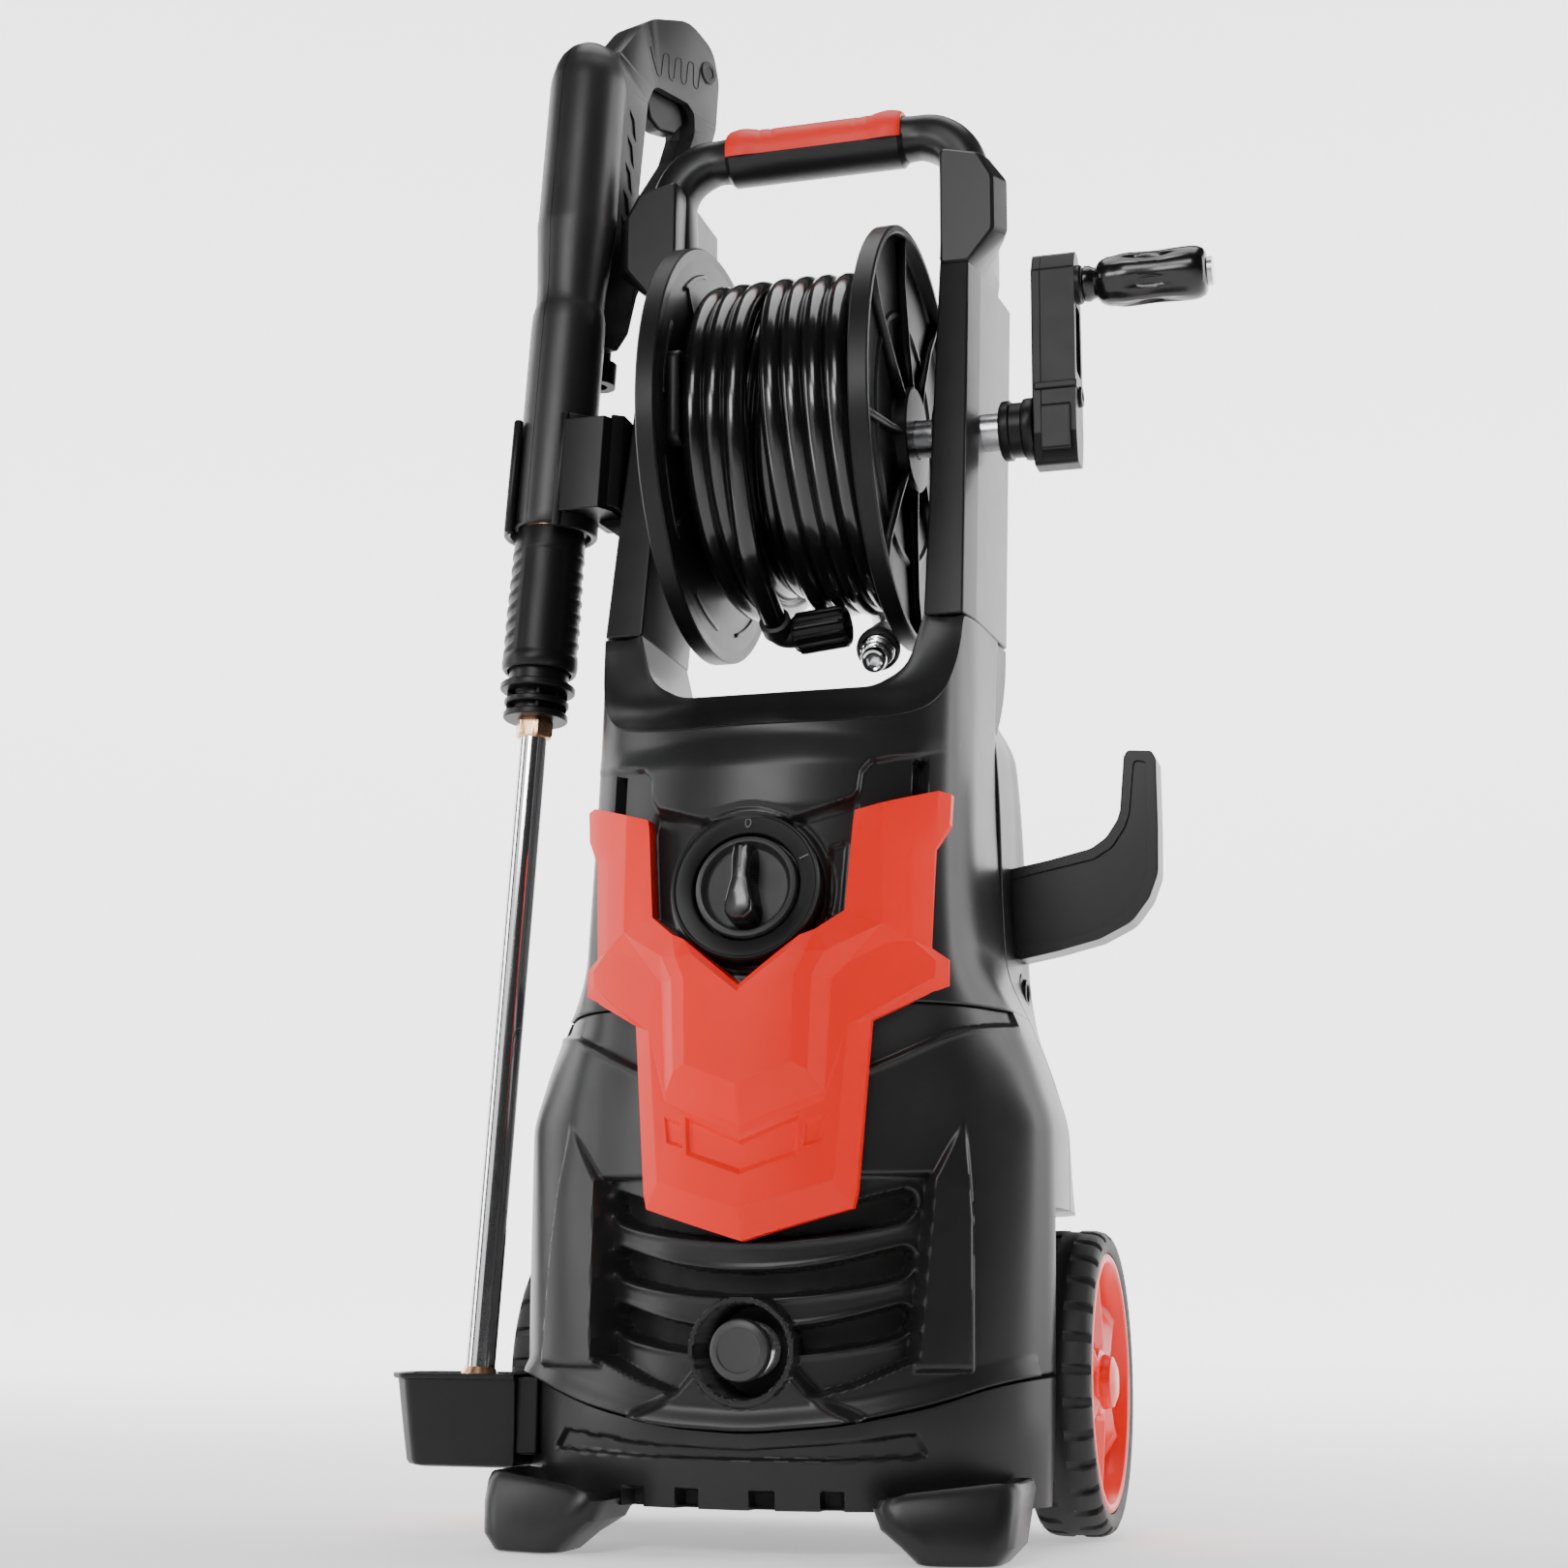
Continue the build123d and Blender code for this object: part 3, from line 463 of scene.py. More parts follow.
# outer turns on the left, down to the inner layer, across, up to the outer layer, back, and off at the rear
seq = []
seq += wind(-170, 2.25, -19.5, -48.5, 101.5, 100.5, 0.6, 1)
a = -170 - 360 * 2.25
seq += wind(a - STEP, 6.9, -49.0, 48.5, 88.0, 88.0, 0.0, 2)
a = a - STEP - 360 * 6.9
seq += wind(a - STEP * 2, 3.9, 48.5, -3.5, 101.0, 102.0, 0.8, 3)
a = a - STEP * 2 - 360 * 3.9
end_goal = 22.0
k = 1
while ((a - STEP * k) - end_goal) % 360 > STEP * 1.2:
    seq.append(on_reel(-3.5 + 5.0 * min(1, k / 10), a - STEP * k, 102.5 * COSF))
    k += 1
    if k > 40:
        break
NIP_DIR = np.array([0.10, -0.86, -0.50])
NIP_DIR /= np.linalg.norm(NIP_DIR)
NIP_TIP = np.array([47.0, -5.0, 523.0])
BOOT0 = NIP_TIP - NIP_DIR * 65.0
tail_pts = [on_reel(2.0, 22, 104.5), on_reel(6.0, -4, 120.0), on_reel(18.0, -30, 123.0), on_reel(33.0, -54, 123.0), tuple(BOOT0)]
hose_route = hose_pts + seq + tail_pts

cu_data = bpy.data.curves.new("hose", "CURVE")
cu_data.dimensions = "3D"
cu_data.bevel_depth = HOSE_D / 2000.0
cu_data.bevel_resolution = 5
cu_data.resolution_u = 5
cu_data.use_fill_caps = True
sp = cu_data.splines.new("NURBS")
sp.points.add(len(hose_route) - 1)
for i, p in enumerate(hose_route):
    sp.points[i].co = (*m(p).tolist(), 1.0)
sp.order_u = 3
sp.use_endpoint_u = True
cu_data.materials.append(HOSE)
hose = bpy.data.objects.new("hose", cu_data)
bpy.context.scene.collection.objects.link(hose)
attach(hose, "reel")
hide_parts("hose_coil", "hose_lead", "hose_tail")


def curve_length(c):
    cp = c.copy()
    cp.bevel_depth = 0.0
    ob = bpy.data.objects.new("tmp", cp)
    me = bpy.data.meshes.new_from_object(ob)
    co = np.array([v.co[:] for v in me.vertices])
    bpy.data.objects.remove(ob)
    bpy.data.meshes.remove(me)
    return float(np.linalg.norm(np.diff(co, axis=0), axis=1).sum())


HOSE_LEN = curve_length(cu_data)
print("HOSE LENGTH", HOSE_LEN)

# hose ends
elb0 = np.array([-17.0, -2.0, 553.0])
d0 = elb0 - np.array(on_reel(-18.0, -125, 120.0))
d0 /= np.linalg.norm(d0)
nut_dir = np.array([0.995, -0.05, 0.09])
nut_dir /= np.linalg.norm(nut_dir)
parts = [revolve("elbow_collar", [(0, -4), (8.2, -4), (10.0, -3), (10.0, 7), (9.2, 8), (0, 8)], elb0, d0, BOOT, "reel", 40)]
rings = []
c0, c1 = elb0 + d0 * 5, np.array([-6.0, 9.0, 548.0])
ctrl = [c0, c0 + d0 * 6, c1 - nut_dir * 8, c1]
for k in range(13):
    t = k / 12
    p = (1 - t) ** 3 * ctrl[0] + 3 * (1 - t) ** 2 * t * ctrl[1] + 3 * (1 - t) * t * t * ctrl[2] + t ** 3 * ctrl[3]
    d = 3 * (1 - t) ** 2 * (ctrl[1] - ctrl[0]) + 6 * (1 - t) * t * (ctrl[2] - ctrl[1]) + 3 * t * t * (ctrl[3] - ctrl[2])
    o3, x, y, z = frame_of(p, d, (0, 1, 0.2))
    rings.append([o3 + x * 8.6 * math.cos(q) + y * 8.6 * math.sin(q) for q in np.linspace(0, 2 * math.pi, 33)[:-1]])
parts.append(loft("elbow", rings, BOOT, "reel"))


def ribs(count, depth):
    def f(r, t, h):
        return r + depth * float(sm((math.cos(count * t) - 0.35) / 0.5))
    return f


nut_o = np.array([-6.5, 8.5, 547.6])
nutm = revolve("nut_body", [(9.0, -0.5), (11.2, 0), (12.0, 1.5), (12.2, 3), (12.2, 32), (11.6, 34.5), (9.6, 35), (9.2, 34), (9.2, 22), (0, 22)], nut_o, nut_dir, DARK, "reel", 144, ref=(0, 1, 0),
               radial=lambda r, t, h: r + (1.5 * float(sm((math.cos(12 * t) - 0.2) / 0.45)) if 2.5 < h < 33.5 and r > 12 else 0.0), sharp=35)
parts.append(nutm)
hose_nut = join("hose_nut_visual", parts, "reel")
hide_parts("hose_nut")

boot_prof = [(0, -2), (8.3, -2), (8.9, 0), (9.6, 5), (10.6, 12), (12.2, 22), (13.6, 31), (14.0, 34), (13.8, 37), (12.6, 38.4), (11.2, 38.0), (0, 38.0)]
hose_boot = revolve("hose_boot_visual", boot_prof, BOOT0, NIP_DIR, BOOT, "reel", 56)
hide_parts("hose_boot")
nip_prof = [(0, 36.5), (10.4, 36.5), (11.0, 37.6), (11.0, 40), (10.2, 41), (9.2, 41.6), (9.2, 43.2), (10.0, 44), (10.0, 45.5), (8.8, 46.5), (8.0, 47), (8.0, 50.5), (9.2, 51.3), (9.4, 52.8), (8.6, 54), (7.0, 54.6), (6.8, 57.8), (7.8, 59), (8.2, 60.8), (7.9, 63.2), (7.0, 64.6), (5.6, 65.0), (4.6, 64.4), (4.3, 63), (4.2, 52), (0, 52)]
hose_nip = revolve("hose_nipple_visual", nip_prof, BOOT0, NIP_DIR, CHROME, "reel", 64, sharp=40)
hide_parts("hose_nipple")
# ------------------------------------------------------------------ housing surface
HZ = np.array([24.0, 72.0, 230.0, 262.0, 294.0, 336.0, 470.0, 505.0])
HALF = np.array([
    [(0, -114), (30, -111.5), (60, -105), (92, -93), (118, -79), (137, -61), (149, -44), (154, -28), (154, 20), (154, 70), (147, 113), (118, 136), (0, 140)],
    [(0, -118), (30, -115.5), (60, -109), (92, -97), (119, -82), (139, -64), (152, -46), (157, -30), (157, 20), (157, 70), (150, 115), (120, 138), (0, 142)],
    [(0, -113), (30, -110.5), (60, -103), (92, -88), (117, -77), (137, -62), (152, -46), (159, -28), (159, 20), (151, 70), (140, 112), (118, 135), (0, 140)],
    [(0, -113), (30, -110.5), (60, -103), (92, -89), (113, -79), (130, -64), (144, -47), (151, -29), (151, 20), (144, 70), (133, 109), (112, 131), (0, 136)],
    [(0, -113), (30, -110.5), (60, -103), (92, -90), (108, -80), (121, -66), (132, -48), (139, -30), (139, 20), (134, 70), (125, 105), (104, 126), (0, 131)],
    [(0, -113.5), (30, -111), (60, -103.5), (90, -91), (105, -80), (113, -68), (119, -50), (121, -30), (123, 20), (125, 60), (124, 90), (100, 116), (0, 123)],
    [(0, -104), (30, -101.5), (60, -94), (88, -82), (102, -71), (110, -60), (115, -42), (117, -25), (118, 20), (119, 60), (118, 88), (96, 112), (0, 118)],
    [(0, -92), (26, -90), (52, -83), (78, -72), (92, -60), (98, -50), (102, -36), (104, -20), (104, 20), (104, 60), (102, 82), (84, 99), (0, 104)]], float)


def pchip_slopes(z, v):
    h = np.diff(z)
    dl = np.diff(v, axis=0) / h[:, None, None]
    s = np.zeros_like(v)
    for i in range(1, len(z) - 1):
        a, b = dl[i - 1], dl[i]
        w1, w2 = 2 * h[i] + h[i - 1], h[i] + 2 * h[i - 1]
        with np.errstate(divide="ignore", invalid="ignore"):
            r = (w1 + w2) / (w1 / a + w2 / b)
        s[i] = np.where(a * b > 0, np.nan_to_num(r), 0)
    s[0], s[-1] = dl[0], dl[-1]
    return s


HS = pchip_slopes(HZ, HALF)
TZ = np.array([24.0, 72.0, 230.0, 262.0, 294.0, 336.0, 470.0, 540.0])
TALL = HALF.copy()
TALL[7] = [(0, -97), (30, -94), (60, -86), (88, -74), (101, -65.5), (109, -58), (113, -49), (117, -30), (120.5, 20), (122, 44), (118, 88), (96, 112), (0, 118)]
TS = pchip_slopes(TZ, TALL)
RIMU = [0, 1, 2, 3, 4, 5, 6, 6.001, 8]
RIMZ = [463.5, 463.5, 464.5, 469.5, 480.0, 500.0, 536.0, 536.0, 537.0]


def rim_z(u):
    """Height of the tower's top rim."""
    a = np.abs(np.asarray(u, float))
    return sum(np.interp(np.clip(a + d, 0, 8), RIMU, RIMZ) for d in (-0.5, -0.25, 0, 0.25, 0.5)) / 5 * (a < 5.6) + np.interp(a, RIMU, RIMZ) * (a >= 5.6)


def half_at(z, tall=False):
    """Control outline (13 points) at each height of the array z."""
    L, V, S = (TZ, TALL, TS) if tall else (HZ, HALF, HS)
    z = np.clip(np.asarray(z, float), L[0], L[-1])
    i = np.clip(np.searchsorted(L, z, side="right") - 1, 0, len(L) - 2)
    h = (L[i + 1] - L[i])[..., None, None]
    t = ((z - L[i])[..., None, None]) / h
    a, b, sa, sb = V[i], V[i + 1], S[i], S[i + 1]
    return (2 * t ** 3 - 3 * t ** 2 + 1) * a + (t ** 3 - 2 * t ** 2 + t) * h * sa + (-2 * t ** 3 + 3 * t ** 2) * b + (t ** 3 - t ** 2) * h * sb


def surf(u, z, tall=False):
    """Point and outward direction of the housing at outline parameter u (0 front centre to 12 back centre, negative on the left) and height z."""
    u, z = np.broadcast_arrays(np.asarray(u, float), np.asarray(z, float))
    s = np.where(u < 0, -1.0, 1.0)
    a = np.abs(u)
    C = half_at(z, tall)
    g0 = C[..., 1:2, :] * np.array([-1.0, 1.0])
    g1 = C[..., -2:-1, :] * np.array([-1.0, 1.0])
    C = np.concatenate([g0, C, g1], axis=-2)
    i = np.clip(np.floor(a).astype(int), 0, 11)
    t = (a - i)[..., None]
    P = [np.take_along_axis(C, (i + k)[..., None, None] + np.zeros(C.shape[:-2] + (1, 2), int), axis=-2)[..., 0, :] for k in range(4)]
    T = 0.5
    m0, m1 = (P[2] - P[0]) * T, (P[3] - P[1]) * T
    lim = np.linalg.norm(P[2] - P[1], axis=-1, keepdims=True)
    for mm_ in (m0, m1):
        nn = np.linalg.norm(mm_, axis=-1, keepdims=True)
        mm_ *= np.minimum(1.0, 1.25 * lim / np.maximum(nn, 1e-9))
    p = (2 * t ** 3 - 3 * t ** 2 + 1) * P[1] + (t ** 3 - 2 * t ** 2 + t) * m0 + (-2 * t ** 3 + 3 * t ** 2) * P[2] + (t ** 3 - t ** 2) * m1
    dd = (6 * t ** 2 - 6 * t) * P[1] + (3 * t ** 2 - 4 * t + 1) * m0 + (-6 * t ** 2 + 6 * t) * P[2] + (3 * t ** 2 - 2 * t) * m1
    nn = np.stack([dd[..., 1], -dd[..., 0]], -1)
    nn /= np.maximum(np.linalg.norm(nn, axis=-1, keepdims=True), 1e-9)
    return s * p[..., 0], p[..., 1], s * nn[..., 0], nn[..., 1]


LIPX = np.array([-170, -138, -94, -44, 3, 56, 101, 134, 170], float)
LIPZ = np.array([97, 91, 77, 67.5, 65, 70, 80, 92, 98], float)


def lip_z(x):
    """Height of the lower cover's front lip."""
    x = np.asarray(x, float)
    zz = sum(np.interp(x + d, LIPX, LIPZ) for d in (-12, -6, 0, 6, 12)) / 5
    return zz


def cut(sd, w=0.9):
    return sm((sd + w) / (2 * w))


HOOD = [(-109, 447), (-92, 445), (-68, 440), (-63, 435), (-62, 423), (-57, 415), (-22, 404.5), (24, 404), (58, 416), (61, 421), (62, 432), (67, 439), (92, 444), (109, 450), (140, 480), (-140, 480)]
FACE = [(-60, 412), (-22, 402), (24, 401.5), (60, 413), (62, 402), (58, 350), (34, 334), (0, 305), (-34, 334), (-58, 350), (-62, 402)]
CHEEK_R = [(63, 310), (108, 310), (122, 262), (103, 206), (62, 200)]
CHEEK_L = [(-63, 310), (-108, 310), (-122, 262), (-98, 206), (-66, 192)]
PIL_R = [(92, 98), (93, 108), (100, 202), (117, 236), (120, 180), (120, 98)]
PIL_L = [(-90, 98), (-91, 108), (-95, 202), (-119, 236), (-128, 165), (-132, 98)]
GRILLE = [(-95, 203), (-92, 104), (-60, 91), (-36, 84), (36, 84), (60, 90), (92, 104), (99, 204)]
STRIP = [(-122, 53), (-114, 63.5), (-56, 57.5), (3, 56), (56, 60), (92, 64.5), (98, 53), (50, 51), (-60, 51)]


def relief(X, Y, Z, NY, part):
    """Outward relief of the front, mm, and a mask of hole bottoms that get the near-black painted shade."""
    D = np.zeros(X.shape)
    hole_shade = np.zeros(X.shape)
    if part == "tower":
        hd = poly_sd(X, Z, HOOD)
        D += cut(hd, 1.6) * 4.6 * (1 - sm((Z - 436) / 22)) * (np.abs(X) < 112) * (1 - sm((np.abs(X) - 86) / 20) * 0.7)
        bulge = np.exp(-(X / 52.0) ** 4) * sm((Z - 404) / 10) * (1 - sm((Z - 448) / 14))
        D += 1.6 * bulge * cut(hd, 1.6)
        D -= 2.6 * cut(poly_sd(X, Z, FACE), 1.6)
        for q in ([(-91, 417), (-84, 416), (-84, 438), (-91, 440)], [(90.5, 418), (97.5, 419), (97.5, 441), (90.5, 440)]):
            k = cut(poly_sd(X, Z, q), 0.8)
            D -= 9 * k
            hole_shade = np.maximum(hole_shade, k)
        D -= 1.8 * cut(poly_sd(X, Z, [(47, 388), (56, 391), (53, 348), (45, 348)]), 0.9)
        D -= 1.2 * cut(1.6 - np.abs(np.hypot(X - 0, Z - 365) - 47.5), 0.7)
        for q in ([(-106, 410), (-95, 410), (-94, 446), (-106, 449)],):
            pass
    if part == "lower":
        zc_ = np.interp(np.abs(X), [40, 60, 80, 100, 118, 135, 150], [252, 260, 269, 279, 287, 291, 293])
        D -= 3.0 * cut(Z - zc_, 1.1) * (1 - 0.6 * sm((Z - zc_) / 34.0))
        D += 0.9 * np.exp(-((Z - zc_ + 2.0) / 1.6) ** 2)
        for q in (CHEEK_R, CHEEK_L):
            sd = poly_sd(X, Z, q)
            D -= 2.4 * cut(sd, 1.0) * sm((40 - np.abs(np.abs(X) - 60)) / 30.0)
        for q in (PIL_R, PIL_L):
            D += 4.6 * cut(poly_sd(X, Z, q), 1.3) * sm((242 - Z) / 46) * sm((Z - 88) / 14)
        yg = -110.5 + X * X / 300.0
        gd = poly_sd(X, Z, GRILLE)
        D = D * (1 - cut(gd, 1.6)) + cut(gd, 1.6) * (yg - Y) / np.minimum(NY, -0.5)
        for zc, hh, sag in ((184, 8.2, 9.5), (153, 8.0, 9.0), (121.5, 8.0, 9.0)):
            c = zc - sag * (1 - (X / 75.0) ** 2)
            h = 6.2 + (hh - 6.2) * np.minimum(1, (np.abs(X) / 75) ** 2)
            ends = 92.5 - h
            dx = np.maximum(np.abs(X) - ends, 0)
            dz = Z - c
            sd = h - np.hypot(dx, dz)
            k = cut(sd, 1.25)
            D -= 12 * k + 0.9 * cut(sd + 1.6, 1.6)
            hole_shade = np.maximum(hole_shade, k)
            D += 1.0 * np.exp(-((sd + 2.2) / 1.6) ** 2) * (gd > 0)
        r = np.hypot(X, Z - 108.0)
        ap = poly_sd(X, Z, [(-64, 72), (-40, 84), (-27, 98), (27, 98), (40, 84), (64, 72), (40, 60), (-40, 60)])
        D = D + cut(ap, 4.0) * (1 - cut(30.0 - r, 0.8)) * np.maximum(0, (-119.0 - (Y + D * NY)) / np.minimum(NY, -0.5))
        kr = cut(30.2 - r, 0.8)
        D = D * (1 - kr) + kr * (-121.0 - Y) / np.minimum(NY, -0.5)
        kh = cut(25.2 - r, 0.9)
        D = D * (1 - kh) + kh * (-93.0 - Y) / np.minimum(NY, -0.5)
        hole_shade = hole_shade * (1 - kr)
        hole_shade = np.maximum(hole_shade, kh * 0.6)
        up = Z - lip_z(X)
        D += 4.2 * (1 - sm(up / 13.0)) * (1 - kr) * (np.abs(X) < 150)
        D -= 0.8 * (1 - sm(up / 1.2))
    if part == "base":
        top = np.where(Y > 15, 98.0, lip_z(X))
        D -= 3.4 * sm((Z - top + 0.9) / 0.8) * (np.abs(X) < 160)
        D -= 2.6 * cut(poly_sd(X, Z, STRIP), 0.9)
        for x0, x1 in ((-73, -61), (-39, -27), (4, 17), (43, 54.5)):
            k = cut(poly_sd(X, Z, [(x0, 20), (x1, 20), (x1, 34), (x0, 34)]), 0.8)
            D -= 9 * k
            hole_shade = np.maximum(hole_shade, k)
    return D, hole_shade


def ulist(a, b, step):
    """Outline parameters from a to b, about step mm apart at mid height."""
    fine = np.linspace(a, b, 4000)
    x, y, _, _ = surf(fine, np.full(fine.shape, 150.0))
    s = np.concatenate([[0], np.cumsum(np.hypot(np.diff(x), np.diff(y)))])
    n = max(2, int(round(s[-1] / step)))
    return np.interp(np.linspace(0, s[-1], n + 1), s, fine)


def shell_piece(name, U, rows, part, mat, closed=False, floor=False, thick=2.4, roof=None, arch=True):
    """A wall of the housing. rows: function giving height for the row fraction and x, or an array of heights."""
    U = np.asarray(U, float)
    if callable(rows):
        x0, _, _, _ = surf(U, np.full(U.shape, 80.0))
        Z = rows(U if part in ("tower", "base") else x0)
    else:
        Z = np.repeat(np.asarray(rows, float)[:, None], len(U), 1)
    UU = np.repeat(U[None, :], Z.shape[0], 0)
    X, Y, NX, NY = surf(UU, Z, part == "tower")
    D, hole_shade = relief(X, Y, Z, NY, part)
    if part != "base":
        D = np.where(np.abs(UU) < 6.9, D, 0)
    X2, Y2 = X + NX * D, Y + NY * D
    if arch:
        cl = (np.abs(UU) > 7.00005) & (Z < 188.0)
        X2 = np.where(cl & (np.abs(X2) > 131), np.sign(X2) * (131.0 - (0.0 if part != "base" else 1.0) * 3.0 * sm((Z - np.where(Y > 15, 98.0, lip_z(X)) + 0.9) / 0.8)), X2)
        cl7 = (np.abs(UU) > 6.99) & (Z < 188.0) & (np.abs(UU) < 7.001)
    R, Cn = Z.shape
    verts = np.stack([X2, Y2, Z], -1).reshape(-1, 3)
    i, j = np.meshgrid(np.arange(R - 1), np.arange(Cn if closed else Cn - 1), indexing="ij")
    a = i * Cn + j
    b = i * Cn + (j + 1) % Cn
    faces = np.stack([a, b, b + Cn, a + Cn], -1).reshape(-1, 4)
    hole_shade_face = np.minimum.reduce([hole_shade[i, j], hole_shade[i, (j + 1) % Cn], hole_shade[i + 1, j], hole_shade[i + 1, (j + 1) % Cn]]).reshape(-1)
    faces = [tuple(f) for f in faces.tolist()]
    # painted shade: faces deep in the holes get the near-black material, standing in for the shade inside slots and
    # sockets
    fm = (hole_shade_face > 0.45).astype(np.int32).tolist()
    if floor:
        faces.append(tuple(reversed(range(Cn))))
        fm.append(0)
    if roof is not None:
        nv = len(verts)
        ring = np.stack([X2[-1], Y2[-1], Z[-1]], -1)
        verts = np.concatenate([verts, ring * np.array([0.97, 0.97, 1.0]) + np.array([0, 0, 1.2])])
        base = (R - 1) * Cn
        for q in range(Cn if closed else Cn - 1):
            q2 = (q + 1) % Cn
            faces.append((base + q, base + q2, nv + q2, nv + q))
            fm.append(0)
        faces.append(tuple(range(nv, nv + Cn)))
        fm.append(0)
    o = new_mesh(name, verts, faces, None, mats=[mat, HOLE_SHADE], fmat=fm)
    sharp_by_angle(o, 50)
    s = o.modifiers.new("wall", "SOLIDIFY")
    s.thickness = thick / 1000.0
    s.offset = -1.0
    s.use_even_offset = False
    apply_mods(o)
    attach(o, "chassis")
    return o


u_front = np.concatenate([ulist(0, 7, 1.12)])
u_side = np.concatenate([[7.0002], np.linspace(7.03, 8.0, 14)])
u_half = np.concatenate([u_front, u_side])
U_FRONT = np.concatenate([-u_half[:0:-1], u_half])
G = 0.3                                   # half of the seam between two mouldings


def rows_low(x):
    zl = lip_z(x) + G
    n = 172
    f = np.linspace(0, 1, n)[:, None]
    Z = zl[None, :] + (300.0 - G - zl[None, :]) * f
    k = int(np.argmin(np.abs(Z[:, 0] - 188.0)))
    lo, hi = zl[None, :] + (187.99 - zl[None, :]) * np.linspace(0, 1, 118)[:, None], 188.01 + (300.0 - G - 188.01) * np.linspace(0, 1, 100)[:, None] + 0 * zl[None, :]
    return np.concatenate([lo, hi])


def rows_base(u):
    x, y, _, _ = surf(u, np.full(u.shape, 85.0))
    zl = np.where(y > 15, 98.0, lip_z(x))
    f = np.concatenate([np.linspace(0, 0.97, 44)])[:, None]
    low_ = 24.0 + (zl[None, :] - G - 24.0) * f / 0.97
    return np.concatenate([low_, (zl - 0.05)[None, :] + 0 * low_[:1], (zl + 0.5)[None, :], (zl + 4.0)[None, :]])


low = shell_piece("lower_front_visual", U_FRONT, rows_low, "lower", CHARCOAL)
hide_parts("lower_front_cover")


def rows_tower(u):
    top = rim_z(u)
    return 300.0 + G + (top[None, :] - 300.0 - G) * np.linspace(0, 1, 136)[:, None]


tow = shell_piece("tower_visual", U_FRONT, rows_tower, "tower", CHARCOAL)
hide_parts("tower_cover")
u_back = np.concatenate([np.linspace(8.0, 12.0, 44)])
u_half_b = np.concatenate([u_front, u_side[:-1], u_back])
U_ALL = np.concatenate([u_half_b, -u_half_b[-2:0:-1]])
tub = shell_piece("base_visual", U_ALL, rows_base, "base", CHARCOAL, closed=True, floor=True)
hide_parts("base_tub")
u_r = np.concatenate([u_back, -u_back[-2::-1]])
u_r[0] = 8.0 + 0.004
u_r[-1] = -8.0 - 0.004


def rows_rear(x):
    zl = lip_z(x) * 0 + 98.0 + G
    lo = zl[None, :] + (187.99 - zl[None, :]) * np.linspace(0, 1, 24)[:, None]
    hi = 188.01 + (505 - 188.01) * np.linspace(0, 1, 80)[:, None] + 0 * zl[None, :]
    return np.concatenate([lo, hi])


rear = shell_piece("rear_visual", u_r, rows_rear, "rear", CHARCOAL, roof=True)
# louvres across the back
louv = [rear]
for z in range(330, 451, 24):
    pts = []
    bars = []
    x = np.linspace(-60, 60, 25)
    uu = np.interp(np.abs(x), [0, 104], [12, 11])
    xs, ys, _, _ = surf(np.where(x < 0, -uu, uu), np.full(x.shape, float(z)))
    rings = []
    for xx, yy in zip(xs, ys):
        rings.append([(xx, yy - 1.0, z - 4), (xx, yy + 2.6, z - 5.0), (xx, yy + 0.4, z + 4), (xx, yy - 1.5, z + 4)])
    louv.append(loft("louvre", rings, CHARCOAL))
rear = join("rear_cover_visual", louv)
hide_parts("rear_cover")

# ------------------------------------------------------------------ red front panel
PV = {
    "a0": (62, 408, -1.5), "a1": (77, 412.5, 2.2), "a2": (105, 422, 0.2), "a3": (111, 421, -1.6), "a4": (110, 403, -1.6),
    "a5": (102.5, 388, -1.6), "a6": (100.5, 331, -1.6), "a7": (109, 325, -1.2), "a8": (109, 310, -1.6), "a9": (69.5, 289, -4),
    "a10": (62, 193.5, -4), "a11": (60, 185, -4.5), "a12": (0, 167, -4.5),
    "i1": (61, 402, -1.5), "i2": (57, 350, 0.5), "i3": (42, 338.5, 3.5), "i4": (34, 335, 5.0), "i5": (0, 307.5, 5.0),
    "s0": (77, 343, 3.4), "s1": (48, 326, 6.4), "s2": (41, 312, 6.6), "s3": (39, 260, 6.6), "s4": (0, 245, 6.6),
    "p1": (38, 325, 8.6), "p2": (32, 312, 9.4), "p3": (31, 264, 9.4), "p4": (0, 252, 9.4), "p5": (27, 325, 8.0), "p6": (0, 303.5, 8.0),
    "w0": (80, 333, 0.6), "w1": (58, 320, 0.2), "w2": (50, 311, 0.2), "w3": (46.5, 248.5, 0.2), "w4": (0, 230, 0.2),
    "l3": (46.8, 244, -0.6), "l4": (0, 224.6, -0.6),
    "c4": (103, 402, 0.4), "c5": (93, 387, 0.6), "c6": (92, 334, 0.6), "c7": (103, 324, 0.4), "c8": (102, 314, 0.2),
    "b1": (58.5, 285, 0.2), "b2": (51, 200, 0.0), "b3": (0, 184, 0.0),
    "v1": (33, 235.5, -0.4), "v2": (0, 221.5, -0.4), "v3": (0, 203, -0.2), "v4": (32, 214, -0.2),
    "q1": (31.4, 233, -2.8), "q2": (0, 219.3, -2.8), "q3": (0, 206, -2.8), "q4": (30.6, 216.2, -2.8),
    "t1": (47.0, 236, -0.5), "t2": (35.5, 232, -0.5), "t3": (34.5, 218, -0.2), "t4": (45, 221, -0.2),
    "h1": (45.6, 234, -2.2), "h2": (37, 230.6, -2.2), "h3": (36.2, 220.4, -2.2), "h4": (44, 222.8, -2.2),
}
